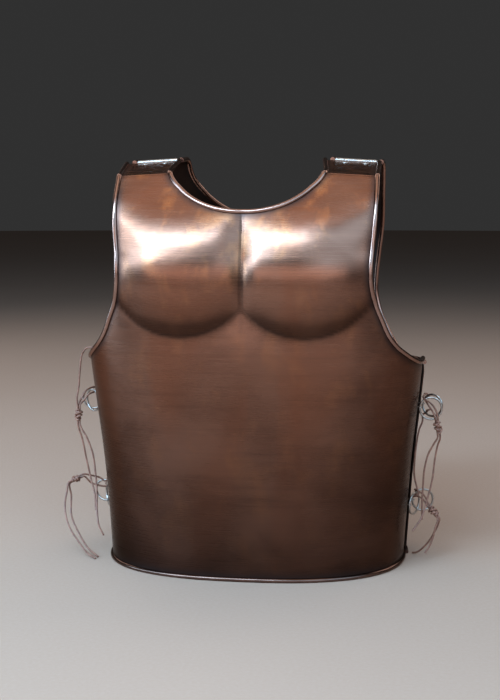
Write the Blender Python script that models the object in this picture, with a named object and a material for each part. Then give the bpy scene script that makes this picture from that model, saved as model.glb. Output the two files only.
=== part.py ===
"""Muscle cuirass of sheet steel: breastplate, backplate, shoulder hinges, side rings and leather laces.

Metres, +Z up. The origin is at the middle of the bottom rim, the front faces -Y, and +X is the wearer's left.
"""
import math

import bmesh
import bpy
import numpy as np
from mathutils import Vector
from mathutils.geometry import delaunay_2d_cdt

# Sheet and rolled edges
SHEET = 0.0012
BEAD_RADIUS = 0.0028
BEAD_LIFT = 0.0007
CLEARANCE = 0.0003

# Body of both plates, measured outwards from the plane of the side seams
CHEST_HALF_WIDTH = 0.193
BACK_EXTRA_WIDTH = 0.003
FRONT_DEPTH = 0.145
BACK_DEPTH = 0.124
SEAM_GAP = 0.012

# Openings, along the edge of the sheet that the rolled edge stands on
FRONT_ARMPIT_HEIGHT = 0.2335
BACK_ARMPIT_HEIGHT = 0.224
STRAP_OUTER = 0.1404
NECK_HALF_WIDTH = 0.0905
NECK_WIDEST_HEIGHT = 0.465
FRONT_NECK_HEIGHT = 0.401
BACK_NECK_HEIGHT = 0.3895

# Pectorals, as domes on the breastplate
PEC_HEIGHT = 0.0175
PEC_RADIUS = 0.089
PEC_UPPER_RADIUS = 0.090
PEC_APART = 0.137
PEC_CENTRE_HEIGHT = 0.361
PEC_SOFTNESS = 0.05
PEC_UPPER_SOFTNESS = 0.30
PEC_FULLNESS = 0.64
CLEFT_WIDTH = 0.0095
CLEFT_SHARE = 0.62
CLEFT_POWER = 1.25

# Shoulders: the hinge axis, and the corner where each strap turns over the shoulder
HINGE_HEIGHT = 0.4625
HINGE_FORWARD = 0.026
HINGE_APART = 0.2297
HINGE_SLOPE = math.radians(3.3)
FRONT_CORNER_HEIGHT = 0.446
FRONT_CORNER_FORWARD = 0.098
FRONT_CORNER_LEAN = math.radians(36.0)
FRONT_CORNER_RADIUS = 0.005
BACK_CORNER_HEIGHT = 0.4645
BACK_CORNER_BEHIND = 0.022
BACK_CORNER_LEAN = math.radians(40.0)
BACK_CORNER_RADIUS = 0.026
TAB_OUTER_FLARE = 0.003
TAB_INNER_FLARE = 0.0035
TAB_SKEW = 0.0045
STRAP_BLEND_LOW = 0.360
STRAP_BLEND_HIGH = 0.428

# Hinges: the leaves lie under the straps' tops, and the axis is HINGE_DROP above the middle of the sheet
HINGE_LENGTH = 0.046
END_KNUCKLE = 0.010
PIN_RADIUS = 0.0012
PIN_PLAY = 0.0003
PIN_HEAD_RADIUS = 0.0019
PIN_HEAD = 0.0006
LEAF = 0.0010
LEAF_REACH = 0.019
KNUCKLE_TURN = math.radians(290.0)
BARREL_RADIUS = PIN_RADIUS + PIN_PLAY
KNUCKLE_RADIUS = BARREL_RADIUS + LEAF
HINGE_DROP = BARREL_RADIUS - CLEARANCE - SHEET / 2
HINGE_SETBACK = KNUCKLE_RADIUS + 0.0008
RIVET_RADIUS = 0.0013
RIVET_INSET = 0.010
RIVET_HEAD_RADIUS = 0.0031
RIVET_HEAD = 0.0012

# The corners of the rolled edge's section, from straight away from the sheet; the rim rests on the side at 0
BEAD_ANGLES = [math.radians(angle) for angle in (126.0, 42.0, -42.0, -126.0)]
BEAD_OFFSET = 0.95 * BEAD_RADIUS
RIM_LIFT = BEAD_OFFSET + BEAD_RADIUS * math.cos(BEAD_ANGLES[1])

# Meshing of the sheets
FLAT_HALF_WIDTH = 1.25 * CHEST_HALF_WIDTH
BEND_ROW = 0.006
EDGE_STEP = 0.0165
RIM_STEP = 1.3 * EDGE_STEP
SIDE_STEP = 1.6 * EDGE_STEP
CHEST_START = 0.258
BACK_COARSER = 1.25
BELLY_ROW = 0.055
CHEST_ROW = 0.0155
ROW_SPACING = 0.0205

# Side rings, and the split pins that are their eyes
EYE_HEIGHTS = {"upper": 0.180, "lower": 0.064}
EYE_INSET = 0.009
EYE_WIRE_RADIUS = 0.00055
EYE_LEG_APART = 0.0007
EYE_LEG = 0.0048
EYE_LEG_LIFT = 0.0008
EYE_LOOP_RADIUS = 0.00225
EYE_STANDOFF = 0.0034
EYE_HOLE_RADIUS = EYE_LEG_APART + EYE_WIRE_RADIUS + 0.00055
RING_RADIUS = 0.01275
RING_WIRE_RADIUS = 0.00125

# How far back from straight out each ring is swung, in degrees: plate, side, level
RING_SWINGS = {
    (-1, 1, "upper"): 8,
    (-1, 1, "lower"): 68,
    (-1, -1, "upper"): 40,
    (-1, -1, "lower"): 70,
    (1, 1, "upper"): -30,
    (1, 1, "lower"): 15,
    (1, -1, "upper"): -8,
    (1, -1, "lower"): 15,
}

# Laces
LACE_RADIUS = 0.0011
LACE_STEP = 0.0066
LACE_TURN = math.radians(60.0)
LACE_SAMPLES = 1200
KNOT_LEAD = 0.003
LACE_ROUND_WIRE = RING_WIRE_RADIUS + LACE_RADIUS + 0.0010

# Routes of the laces. A row of three numbers is a place: millimetres outwards, back and up from the loop of the
# front eye at the same hand and level. A row that starts with a plate and a level is a bend round the wire of
# that ring: the place on the ring in degrees upwards from its eye, then where the lace is round the wire, in
# degrees: 0 is inside the ring, 90 behind it, 180 outside it and 270 before it. A row that starts with "knot"
# leaves that end of the knot squarely: 1 or -1 along it, then the place on its end, outwards and back.
LACE_ROUTES = {
    ("left", "upper", "loop"): (
        ("knot", -1, -1.4, 0.0), (14.6, -5.4, -3.4), (9.6, -4.0, 3.6),
        ("front", "upper", 50, (-15, 15)), (6.6, 15.0, 8.4), ("back", "upper", 50, (-20, 35, 90, 145, 200)),
        (5.6, 15.0, 13.2), ("front", "upper", 50, (165, 195, 240)),
        (11.8, -5.2, 6.4), (17.8, -6.0, -1.0), ("knot", -1, 1.4, 0.0),
    ),
    ("left", "upper", "tail_front"): (
        ("knot", 1, -1.4, -0.3), (17.0, -4.6, -41.2), (11.1, -3.9, -52.5), (6.5, -4.9, -70.4), (4.9, -5.9, -92.5),
        (4.1, -7.5, -111.0), (4.4, -8.5, -130.7),
    ),
    ("left", "upper", "tail_back"): (
        ("knot", 1, 1.4, 0.3), (20.8, -0.5, -45.2), (18.2, 0.6, -59.5), (15.6, -1.9, -83.3), (10.0, -7.5, -107.0),
        (4.0, -14.5, -126.5), (-6.0, -22.5, -141.3),
    ),
    ("left", "upper", "strand"): (
        (11.4, 20.6, -5.6), ("back", "upper", -50, (-15, 40, 90, 140, 185)), (2.8, 21.0, -20.0),
        (-0.7, 17.6, -29.0), (-3.4, 16.1, -43.5), (-5.6, 15.1, -66.4), (-5.8, 15.0, -83.2),
        ("front", "lower", 100, (215, 270, 325)), (-8.6, 14.6, -109.6),
    ),
    ("left", "lower", "loop"): (
        ("knot", -1, -1.3, 0.0), (16.2, 12.0, 3.6), ("front", "lower", 130, (-25, 15, 60)),
        ("back", "lower", 50, (-20, 35, 90, 145, 200)), ("front", "lower", 130, (165, 215)),
        (17.6, 15.0, 7.4), ("knot", -1, 1.3, 0.0),
    ),
    ("left", "lower", "tail_long"): (
        ("knot", 1, 1.0, 1.0), (33.2, 4.6, -24.0), (28.8, 6.6, -34.0), (23.6, 9.2, -44.0), (16.0, 13.0, -54.0),
        (8.6, 17.4, -60.8), (3.6, 21.0, -62.4),
    ),
    ("left", "lower", "tail_short"): (
        ("knot", 1, -1.0, -1.0), (30.2, -1.0, -26.0), (27.6, -1.6, -38.0), (23.6, -3.6, -48.0), (18.4, -6.0, -55.6),
    ),
    ("right", "upper", "loop"): (
        ("knot", -1, -1.5, -0.4), (20.6, 5.2, -0.2), ("front", "upper", 120, (-10, 25)),
        ("back", "upper", 60, (-20, 35, 90, 145, 200)), ("front", "upper", 120, (165, 225)),
        (23.4, 5.6, 3.2), ("knot", -1, 0.4, 1.5),
    ),
    ("right", "upper", "tail_front"): (
        ("knot", 1, -1.3, -0.3), (15.8, -2.4, -46.0), (9.4, -3.2, -62.7), (5.4, -5.8, -86.4), (2.6, -11.0, -109.7),
        (0.8, -17.6, -130.3), (-3.0, -25.8, -145.5), (-12.0, -38.0, -154.8),
    ),
    ("right", "upper", "tail_back"): (
        ("knot", 1, 1.3, 0.3), (23.4, 2.4, -46.9), (18.4, 3.4, -73.5), (12.8, 1.6, -97.0), (7.3, -2.9, -113.9),
        (4.6, -9.9, -132.0),
    ),
    ("right", "upper", "arch"): (
        ("knot", -1, 1.2, -1.1), (28.2, -0.8, 2.0), (26.4, 0.4, 14.4), (23.9, -0.9, 36.8), (19.2, -3.9, 57.8),
        (14.3, -6.4, 63.2), (8.6, -8.9, 64.9), (2.3, -10.9, 63.2), (-1.5, -12.6, 59.2), (-4.4, -13.9, 51.0),
        (-6.0, -14.9, 41.0),
    ),
    ("right", "lower", "loop"): (
        ("knot", -1, -1.3, 0.0), (25.0, 7.0, 13.8), (14.0, 11.0, 9.4), ("front", "lower", 110, (-10, 25)),
        ("back", "lower", 70, (-20, 35, 90, 145, 200)), ("front", "lower", 110, (170, 200)),
        (16.0, 15.0, 18.6), (26.0, 9.0, 22.4), ("knot", -1, 1.3, 0.0),
    ),
    ("right", "lower", "tail_outer"): (
        ("knot", 1, 1.0, -1.0), (51.8, -5.6, 3.8), (53.0, -9.8, -8.6), (51.4, -14.8, -18.5), (44.6, -23.8, -33.2),
        (29.1, -36.8, -48.9), (14.8, -48.8, -59.2), (3.5, -56.8, -62.4),
    ),
    ("right", "lower", "tail_inner"): (
        ("knot", 1, -1.0, 1.0), (48.0, 0.4, -1.2), (45.6, -8.8, -23.5), (32.8, -22.8, -41.6), (17.4, -36.8, -56.2),
        (2.7, -48.8, -62.4),
    ),
}

# Knots of the laces, in the same way: the middle, the way along the knot, its half length and half width
LACE_KNOTS = {
    ("left", "upper"): ((20.8, -5.6, -21.2), (0.15, 0.05, -1.0), 8.2, 5.0),
    ("left", "lower"): ((27.4, 5.4, -7.6), (0.62, -0.30, -0.72), 6.8, 5.0),
    ("right", "upper"): ((26.4, -0.4, -17.2), (0.0, -0.05, -1.0), 6.8, 5.0),
    ("right", "lower"): ((41.4, 1.0, 19.4), (0.80, -0.20, -0.42), 5.0, 4.6),
}

# The plane of the side seams, placed so that the origin is midway between front and back
SEAM_Y = (FRONT_DEPTH - BACK_DEPTH) / 2 + 0.006

# Shares of the hinge height, the chest half width, the front depth and the back depth, and each section's power
SECTIONS = (
    # height, width, front, back, power
    (0.00, 0.893, 0.955, 0.940, 2.5),
    (0.13, 0.914, 0.962, 0.935, 2.5),
    (0.26, 0.937, 0.972, 0.940, 2.6),
    (0.40, 0.972, 0.985, 0.965, 2.8),
    (0.52, 0.997, 0.990, 0.995, 3.1),
    (0.64, 1.004, 0.975, 1.000, 3.3),
    (0.76, 1.005, 0.950, 0.955, 3.4),
    (0.86, 1.005, 0.840, 0.820, 3.4),
    (1.00, 1.010, 0.650, 0.560, 3.4),
)

# The armholes: share of the way from the armpit up to the strap's corner, then, for the front and for the
# back, the share of the way from the strap's outer edge out to the chest's half width
ARMHOLES = (
    # height, front, back
    (0.0000, 1.000, 1.000),
    (0.0065, 0.930, 0.547),
    (0.0300, 0.820, 0.380),
    (0.0650, 0.669, 0.260),
    (0.1120, 0.473, 0.137),
    (0.1700, 0.305, -0.002),
    (0.2580, 0.152, -0.152),
    (0.3300, 0.035, -0.218),
    (0.4230, -0.059, -0.216),
    (0.5490, -0.079, -0.155),
    (0.7070, -0.030, -0.063),
    (0.8650, 0.000, -0.022),
    (1.0000, 0.000, 0.000),
)


def hermite(knots, values, slopes, at):
    """The smooth curve through values at knots, read at any place."""
    k = np.clip(np.searchsorted(knots, at) - 1, 0, len(knots) - 2)
    step = knots[k + 1] - knots[k]
    s = (at - knots[k]) / step
    if values.ndim > 1:
        step = step[:, None]
        s = s[:, None]
    rise = values[k + 1] - values[k]
    a = slopes[k] * step
    b = slopes[k + 1] * step
    return values[k] + s * (a + s * (3 * rise - 2 * a - b + s * (a + b - 2 * rise)))


def table_curve(rows, column, share):
    """A column of a table at any share of the first column, on a smooth curve through its rows."""
    knots = np.array([row[0] for row in rows])
    values = np.array([row[column] for row in rows])
    at = np.clip(share, knots[0], knots[-1])
    return hermite(knots, values, np.gradient(values, knots), at)


def smooth_curve(points, count=400):
    """Many points along a smooth curve through a few."""
    points = np.array(points, float)
    steps = np.linalg.norm(np.diff(points, axis=0), axis=1)
    knots = np.concatenate([[0.0], np.cumsum(steps)])
    at = np.linspace(0.0, knots[-1], count)
    return hermite(knots, points, np.gradient(points, knots, axis=0), at)


def spaced(line, spacing):
    """Evenly spaced points along a line of many points, about this far apart."""
    steps = np.linalg.norm(np.diff(line, axis=0), axis=1)
    along = np.concatenate([[0.0], np.cumsum(steps)])
    count = max(1, round(along[-1] / spacing))
    at = np.linspace(0.0, along[-1], count + 1)
    return np.stack([np.interp(at, along, column) for column in line.T], axis=-1)


def ease(value):
    """0 below 0, 1 above 1, and smooth between them."""
    s = np.clip(value, 0.0, 1.0)
    return s * s * (3.0 - 2.0 * s)


class Plate:
    """The middle of one plate's sheet, over u, from -1 to 1 between its side edges, and t, up the plate."""

    def __init__(self, way):
        self.way = way
        front = way < 0
        self.half_width = CHEST_HALF_WIDTH + (0.0 if front else BACK_EXTRA_WIDTH)
        self.depth = FRONT_DEPTH if front else BACK_DEPTH
        self.depth_column = 2 if front else 3
        self.domes = front
        self.flares = (TAB_INNER_FLARE, TAB_OUTER_FLARE) if front else (0.0, 0.0)
        self.skew = TAB_SKEW if front else 0.0
        self.armpit = FRONT_ARMPIT_HEIGHT if front else BACK_ARMPIT_HEIGHT
        self.neck = FRONT_NECK_HEIGHT if front else BACK_NECK_HEIGHT
        self.arm_column = 1 if front else 2
        hinge_out = HINGE_FORWARD if front else -HINGE_FORWARD
        corner_out = FRONT_CORNER_FORWARD if front else BACK_CORNER_BEHIND
        corner_height = FRONT_CORNER_HEIGHT if front else BACK_CORNER_HEIGHT
        lean = FRONT_CORNER_LEAN if front else BACK_CORNER_LEAN
        radius = FRONT_CORNER_RADIUS if front else BACK_CORNER_RADIUS
        self.corner = (corner_out, corner_height)
        self.lean = lean
        self.hinge_out = hinge_out
        # the flat top runs from the corner to the hinge
        run = corner_out - hinge_out
        climb = HINGE_HEIGHT - corner_height
        reach = math.hypot(run, climb)
        self.top_tilt = math.atan2(climb, run) - math.asin(HINGE_DROP / reach)
        top_length = math.sqrt(reach ** 2 - HINGE_DROP ** 2) - HINGE_SETBACK
        turn = math.pi / 2 - lean - self.top_tilt
        cut = radius * math.tan(turn / 2)
        start_out = corner_out + (corner_height - STRAP_BLEND_HIGH) * math.tan(lean)
        strap = (corner_height - STRAP_BLEND_HIGH) / math.cos(lean)
        self.start_out = start_out
        self.radius = radius
        self.lengths = (strap - cut, radius * turn, top_length - cut)
        self.crease = STRAP_BLEND_HIGH + strap - cut + radius * turn / 2
        self.top = STRAP_BLEND_HIGH + sum(self.lengths)

    def creases(self):
        """The heights along the sheet where its bend over the shoulder starts and ends, and rows between."""
        straight, bend, _ = self.lengths
        start = STRAP_BLEND_HIGH + straight
        rows = max(1, round(bend / BEND_ROW))
        return [start + bend * k / rows for k in range(rows + 1)]

    def half_size(self, t):
        share = t / HINGE_HEIGHT
        wide = self.half_width * table_curve(SECTIONS, 1, share)
        deep = self.depth * table_curve(SECTIONS, self.depth_column, share)
        return wide, deep, table_curve(SECTIONS, 4, share)

    def side_angle(self, wide):
        return math.pi / 2 - np.arcsin(SEAM_GAP / 2 / wide)

    def u_at(self, x, t):
        """The u of a point whose place across the plate is x."""
        x = np.asarray(x, float)
        wide, deep, power = self.half_size(t)
        share = np.clip(np.abs(x) / wide, 0.0, 1.0)
        out = deep * (1.0 - share ** power) ** (1.0 / power)
        return np.arctan2(x, out) / self.side_angle(wide)

    def strap(self, t):
        """The straps' own profile: how far out and how high it is at t."""
        straight, bend, flat = self.lengths
        s = np.maximum(t - STRAP_BLEND_HIGH, 0.0)
        a = np.minimum(s, straight)
        b = np.clip(s - straight, 0.0, bend) / self.radius
        c = np.clip(s - straight - bend, 0.0, None)
        end = self.lean + b
        out = self.start_out - a * math.sin(self.lean)
        out = out - self.radius * (math.cos(self.lean) - np.cos(end))
        out = out - c * math.cos(self.top_tilt)
        height = STRAP_BLEND_HIGH + a * math.cos(self.lean)
        height = height + self.radius * (np.sin(end) - math.sin(self.lean))
        height = height + c * math.sin(self.top_tilt)
        below = np.maximum(STRAP_BLEND_HIGH - t, 0.0)
        return out + below * math.tan(self.lean), height - below

    def point(self, u, t):
        """Points in the middle of the sheet, as an array with a row for each."""
        u = np.asarray(u, float)
        t = np.asarray(t, float)
        wide, deep, power = self.half_size(t)
        angle = u * self.side_angle(wide)
        across = np.abs(np.sin(angle) / wide) ** power
        along = np.abs(np.cos(angle) / deep) ** power
        radius = (across + along) ** (-1.0 / power)
        x = radius * np.sin(angle)
        body_out = radius * np.cos(angle)
        if self.domes:
            body_out = body_out + pectorals(x, t)
        strap_out, height = self.strap(t)
        blend = ease((t - STRAP_BLEND_LOW) / (STRAP_BLEND_HIGH - STRAP_BLEND_LOW))
        out = body_out + blend * (strap_out - body_out)
        sloping = ease((t - STRAP_BLEND_LOW) / (self.crease - STRAP_BLEND_LOW))
        height = height - sloping * math.tan(HINGE_SLOPE) * (np.abs(x) - HINGE_APART / 2)
        return np.stack([x, SEAM_Y + self.way * out, height], axis=-1)

    def normal(self, u, t):
        """The sheet's outward directions at the same points."""
        du = 0.0005
        dt = 0.0001
        across = self.point(u + du, t) - self.point(u - du, t)
        up = self.point(u, t + dt) - self.point(u, t - dt)
        n = np.cross(across, up) * -self.way
        return n / np.linalg.norm(n, axis=-1, keepdims=True)


def pectorals(x, z):
    """How far the two pectoral domes, and the cleft between them, stand out."""
    side = np.abs(x)
    rise = z - PEC_CENTRE_HEIGHT
    tall = np.where(rise > 0.0, PEC_UPPER_RADIUS, PEC_RADIUS)
    far = ((side - PEC_APART / 2) / PEC_RADIUS) ** 2 + (rise / tall) ** 2
    within = 1.0 - far
    upper = ease(rise / PEC_UPPER_RADIUS)
    softness = PEC_SOFTNESS + upper * (PEC_UPPER_SOFTNESS - PEC_SOFTNESS)
    soft = 0.5 * (within + np.sqrt(within ** 2 + softness ** 2))
    dome = soft ** PEC_FULLNESS
    cleft = 1.0 - CLEFT_SHARE * np.exp(-(side / CLEFT_WIDTH) ** CLEFT_POWER)
    return PEC_HEIGHT * dome * cleft


def to_flat(plate, x, t):
    """Front view places on the plate, as places on its flattened sheet."""
    u = np.clip(plate.u_at(x, t), -1.0, 1.0)
    return np.stack([u * FLAT_HALF_WIDTH, t], axis=-1)


def tab_share(plate, t):
    """How far t is along a strap's top, from the crease to the hinge."""
    return np.clip((t - plate.crease) / (plate.top - plate.crease), 0.0, 1.0)


def neck_edge(plate, side):
    """One half of the neck edge, from the strap's top down to the middle, as if it were on the +X side."""
    rise = NECK_WIDEST_HEIGHT - plate.neck
    angle = np.linspace(0.0, math.pi / 2, 200)
    upper = np.linspace(plate.top, NECK_WIDEST_HEIGHT, 60)[:-1]
    x = np.concatenate([np.full(len(upper), NECK_HALF_WIDTH), NECK_HALF_WIDTH * np.cos(angle)])
    t = np.concatenate([upper, NECK_WIDEST_HEIGHT - rise * np.sin(angle)])
    x = x - tab_share(plate, t) * (plate.flares[0] + side * plate.skew)
    return to_flat(plate, x, t)


def arm_edge(plate, side):
    """An armhole's edge, from the armpit up to the strap's top, as if it were on the +X side."""
    spread = CHEST_HALF_WIDTH - STRAP_OUTER
    climb = plate.corner[1] - plate.armpit
    rows = [(STRAP_OUTER + row[plate.arm_column] * spread, plate.armpit + row[0] * climb) for row in ARMHOLES]
    line = smooth_curve(rows)
    upper = np.linspace(plate.corner[1], plate.top, 60)[1:]
    x = np.concatenate([line[:, 0], np.full(len(upper), STRAP_OUTER)])
    t = np.concatenate([line[:, 1], upper])
    x = x + tab_share(plate, t) * (plate.flares[1] - side * plate.skew)
    return to_flat(plate, x, t)


def cut_at(line, levels, spacing):
    """A line's evenly spaced points, with one on each of the levels that it crosses."""
    rising = line[-1, 1] > line[0, 1]
    parts = []
    start = line[0]
    rest = line
    for level in sorted(levels, reverse=not rising):
        crossing = np.flatnonzero((rest[:-1, 1] - level) * (rest[1:, 1] - level) <= 0.0)
        if not len(crossing):
            continue
        k = crossing[-1]
        share = (level - rest[k, 1]) / (rest[k + 1, 1] - rest[k, 1])
        there = rest[k] + share * (rest[k + 1] - rest[k])
        there[1] = level
        parts.append(spaced(np.vstack([start, rest[1:k + 1], there]), spacing)[:-1])
        start = there
        rest = np.vstack([there, rest[k + 1:]])
    parts.append(spaced(rest, spacing))
    return np.vstack(parts)


def outline(plate, coarser):
    """The plate's outline on its flattened sheet, anticlockwise, and what kind of edge starts at each point."""
    rim = np.stack([np.linspace(-FLAT_HALF_WIDTH, FLAT_HALF_WIDTH, 200), np.full(200, RIM_LIFT)], axis=-1)
    side = np.array([[FLAT_HALF_WIDTH, RIM_LIFT], [FLAT_HALF_WIDTH, plate.armpit]])
    levels = plate.creases()
    fine = coarser * EDGE_STEP
    mirror = np.array([-1.0, 1.0])
    arms = {s: cut_at(arm_edge(plate, s), levels, fine) * (s, 1.0) for s in (1, -1)}
    necks = {s: cut_at(neck_edge(plate, s), levels, fine) * (s, 1.0) for s in (1, -1)}
    tops = {s: spaced(np.array([arms[s][-1], necks[s][0]]), fine) for s in (1, -1)}
    runs = [
        (spaced(rim, coarser * RIM_STEP), "rim"),
        (spaced(side, coarser * SIDE_STEP), "plain"),
        (arms[1], "bead"),
        (tops[1], "plain"),
        (np.vstack([necks[1], necks[-1][-2::-1]]), "bead"),
        (tops[-1][::-1], "plain"),
        (arms[-1][::-1], "bead"),
        (spaced((side * mirror)[::-1], coarser * SIDE_STEP), "plain"),
    ]
    points = np.vstack([run[:-1] for run, _ in runs])
    kinds = [kind for run, kind in runs for _ in run[:-1]]
    return points, kinds


def inside(points, loops):
    """Whether each flat point lies inside the loops, by the even-odd rule."""
    odd = np.zeros(len(points), bool)
    x, y = points.T
    for loop in loops:
        for (ax, ay), (bx, by) in zip(loop, np.roll(loop, -1, axis=0)):
            if ay != by:
                across = ax + (y - ay) / (by - ay) * (bx - ax)
                odd ^= ((ay > y) != (by > y)) & (x < across)
    return odd


def gap_to(points, loops):
    """How far each flat point is from the nearest of the loops."""
    nearest = np.full(len(points), np.inf)
    for loop in loops:
        for a, b in zip(loop, np.roll(loop, -1, axis=0)):
            way = b - a
            share = np.clip(((points - a) @ way) / max(way @ way, 1e-12), 0.0, 1.0)
            nearest = np.minimum(nearest, np.linalg.norm(points - a - share[:, None] * way, axis=1))
    return nearest


def hole(plate, u, t, radius, sides=6):
    """A round hole's edge on the flattened sheet, clockwise."""
    step = 0.001
    wide = np.linalg.norm(plate.point(u + step, t) - plate.point(u - step, t)) / (2 * step)
    angle = -2 * math.pi * np.arange(sides) / sides
    across = u * FLAT_HALF_WIDTH + radius * np.cos(angle) * FLAT_HALF_WIDTH / wide
    return np.stack([across, t + radius * np.sin(angle)], axis=-1)


def triangles_in(points, edges, loops):
    """The points as an array, and the triangles between them that lie inside the loops."""
    _, _, faces, origins, _, _ = delaunay_2d_cdt([Vector(p) for p in points], edges, [], 0, 1e-9)
    number = [min(origin) for origin in origins]
    points = np.array(points)
    faces = np.array([[number[k] for k in face] for face in faces])
    return points, faces[inside(points[faces].mean(axis=1), loops)]


def loop_edges(loops):
    """The loops' points in one list, and the edges along the loops."""
    points = [point for loop in loops for point in loop]
    edges = []
    first = 0
    for loop in loops:
        edges += [(first + k, first + (k + 1) % len(loop)) for k in range(len(loop))]
        first += len(loop)
    return points, edges


def fill(plate, loops, rows, spacing):
    """Triangles over the flattened sheet: all points, the loops' first, and three numbers for each triangle."""
    points, edges = loop_edges(loops)
    rim = np.array(loops[0])
    for level in plate.creases():
        ends = sorted(np.flatnonzero(np.abs(rim[:, 1] - level) < 1e-9), key=lambda k: rim[k, 0])
        for a, b in zip(ends[::2], ends[1::2]):
            count = max(1, round((rim[b, 0] - rim[a, 0]) / spacing))
            chain = [int(a)]
            for k in range(1, count):
                chain.append(len(points))
                points.append(rim[a] + (rim[b] - rim[a]) * k / count)
            chain.append(int(b))
            edges += list(zip(chain[:-1], chain[1:]))
    loose = []
    for number, level in enumerate(rows):
        ahead = np.roll(rim, -1, axis=0)
        crossing = (rim[:, 1] > level) != (ahead[:, 1] > level)
        share = (level - rim[crossing, 1]) / (ahead[crossing, 1] - rim[crossing, 1])
        ends = np.sort(rim[crossing, 0] + share * (ahead[crossing, 0] - rim[crossing, 0]))
        for a, b in zip(ends[::2], ends[1::2]):
            count = max(2, round((b - a) / spacing))
            shift = 0.5 * (number % 2)
            loose += [(a + (b - a) * (k + shift) / count, level) for k in range(1 - number % 2, count)]
    loose = np.array(loose)
    clear = np.minimum(gap_to(loose, loops), 1.0) > 0.45 * spacing
    for level in plate.creases():
        clear &= np.abs(loose[:, 1] - level) > 0.4 * BEND_ROW
    return triangles_in(points + list(loose[clear]), edges, loops)


def bead_ring(middle, edge, out):
    """The corners of the rolled edge's section at one place of the sheet's edge."""
    centre = middle + edge * BEAD_OFFSET + out * BEAD_LIFT
    return [centre + BEAD_RADIUS * (math.cos(a) * edge + math.sin(a) * out) for a in BEAD_ANGLES]


def hole_walls(loops, below):
    """The walls of the holes, which are the loops after the first."""
    faces = []
    first = len(loops[0])
    for loop in loops[1:]:
        ring = list(range(first, first + len(loop)))
        faces += [(a, a + below, b + below, b) for a, b in zip(ring, ring[1:] + ring[:1])]
        first += len(loop)
    return faces


def sheet_mesh(plate, loops, kinds, rows, spacing):
    """The plate as one closed solid: its sheet, walls at plain edges and holes, and its rolled edges."""
    flat, triangles = fill(plate, loops, rows, spacing)
    u = flat[:, 0] / FLAT_HALF_WIDTH
    middle = plate.point(u, flat[:, 1])
    out = plate.normal(u, flat[:, 1])
    corners = list(middle + out * SHEET / 2) + list(middle - out * SHEET / 2)
    below = len(middle)
    faces = [tuple(face) for face in triangles]
    faces += [tuple(face[::-1] + below) for face in triangles]
    faces += hole_walls(loops, below)
    count = len(loops[0])
    rings = {}
    for k in range(count):
        before, after = kinds[k - 1], kinds[k]
        if "plain" in (before, after) and before == after:
            continue
        ahead = middle[(k + 1) % count] if after != "plain" else middle[k]
        behind = middle[k - 1] if before != "plain" else middle[k]
        along = (ahead - behind) / np.linalg.norm(ahead - behind)
        if "rim" in (before, after):
            edge = np.array([0.0, 0.0, -1.0])
            face = out[k] * (1.0, 1.0, 0.0)
        else:
            edge = np.cross(along, out[k]) * -plate.way
            edge /= np.linalg.norm(edge)
            face = np.cross(edge, along) * -plate.way
        face /= np.linalg.norm(face)
        rings[k] = len(corners)
        corners += bead_ring(middle[k], edge, face)
        if "plain" in (before, after):
            faces.append((k, *range(rings[k], rings[k] + len(BEAD_ANGLES)), k + below))
    for k in range(count):
        after = (k + 1) % count
        if kinds[k] == "plain":
            faces.append((k, k + below, after + below, after))
            continue
        here = [k, *range(rings[k], rings[k] + len(BEAD_ANGLES)), k + below]
        there = [after, *range(rings[after], rings[after] + len(BEAD_ANGLES)), after + below]
        for j in range(len(here) - 1):
            faces.append((here[j], here[j + 1], there[j + 1], there[j]))
    return corners, faces


def add_object(name, corners, faces, material, sharp=35.0):
    """A new object of one closed mesh, its faces turned outwards."""
    mesh = bpy.data.meshes.new(name)
    shape = bmesh.new()
    points = [shape.verts.new(corner) for corner in corners]
    for face in faces:
        shape.faces.new([points[k] for k in face])
    bmesh.ops.recalc_face_normals(shape, faces=shape.faces)
    bmesh.ops.triangulate(shape, faces=shape.faces)
    shape.to_mesh(mesh)
    shape.free()
    mesh.shade_smooth()
    mesh.set_sharp_from_angle(angle=math.radians(sharp))
    mesh.materials.append(material)
    made = bpy.data.objects.new(name, mesh)
    bpy.context.collection.objects.link(made)
    return made


def make_material(name, colour, metallic, roughness):
    material = bpy.data.materials.new(name)
    material.use_nodes = True
    shader = material.node_tree.nodes["Principled BSDF"]
    shader.inputs["Base Color"].default_value = (*colour, 1.0)
    shader.inputs["Metallic"].default_value = metallic
    shader.inputs["Roughness"].default_value = roughness
    return material


def row_heights(plate, coarser):
    """The rows of points over the plate: wide apart on the belly, closer on the chest, straps and shoulder."""
    belly_row = coarser * BELLY_ROW
    chest_row = coarser * CHEST_ROW
    low, high = RIM_LIFT, plate.creases()[0]
    belly = np.linspace(low, CHEST_START, round((CHEST_START - low) / belly_row) + 1)[1:]
    chest = np.linspace(CHEST_START, high, round((high - CHEST_START) / chest_row) + 1)[1:-1]
    start = plate.creases()[-1]
    top = np.linspace(start, plate.top, round((plate.top - start) / chest_row) + 1)[1:-1]
    return [*belly, *chest, *top]


def eye_place(plate, side, height):
    """The u and t of a ring's eye."""
    step = 0.001
    wide = np.linalg.norm(plate.point(1.0, height) - plate.point(1.0 - step, height)) / step
    return side * (1.0 - EYE_INSET / wide), height


def rivet_places(plate, side):
    """The u and t of the rivets through one strap's top."""
    t = plate.top - RIVET_INSET
    xs = [HINGE_APART / 2 - HINGE_LENGTH / 4, HINGE_APART / 2 + HINGE_LENGTH / 4]
    return [(float(plate.u_at(side * x, t)), t) for x in xs]


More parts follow.
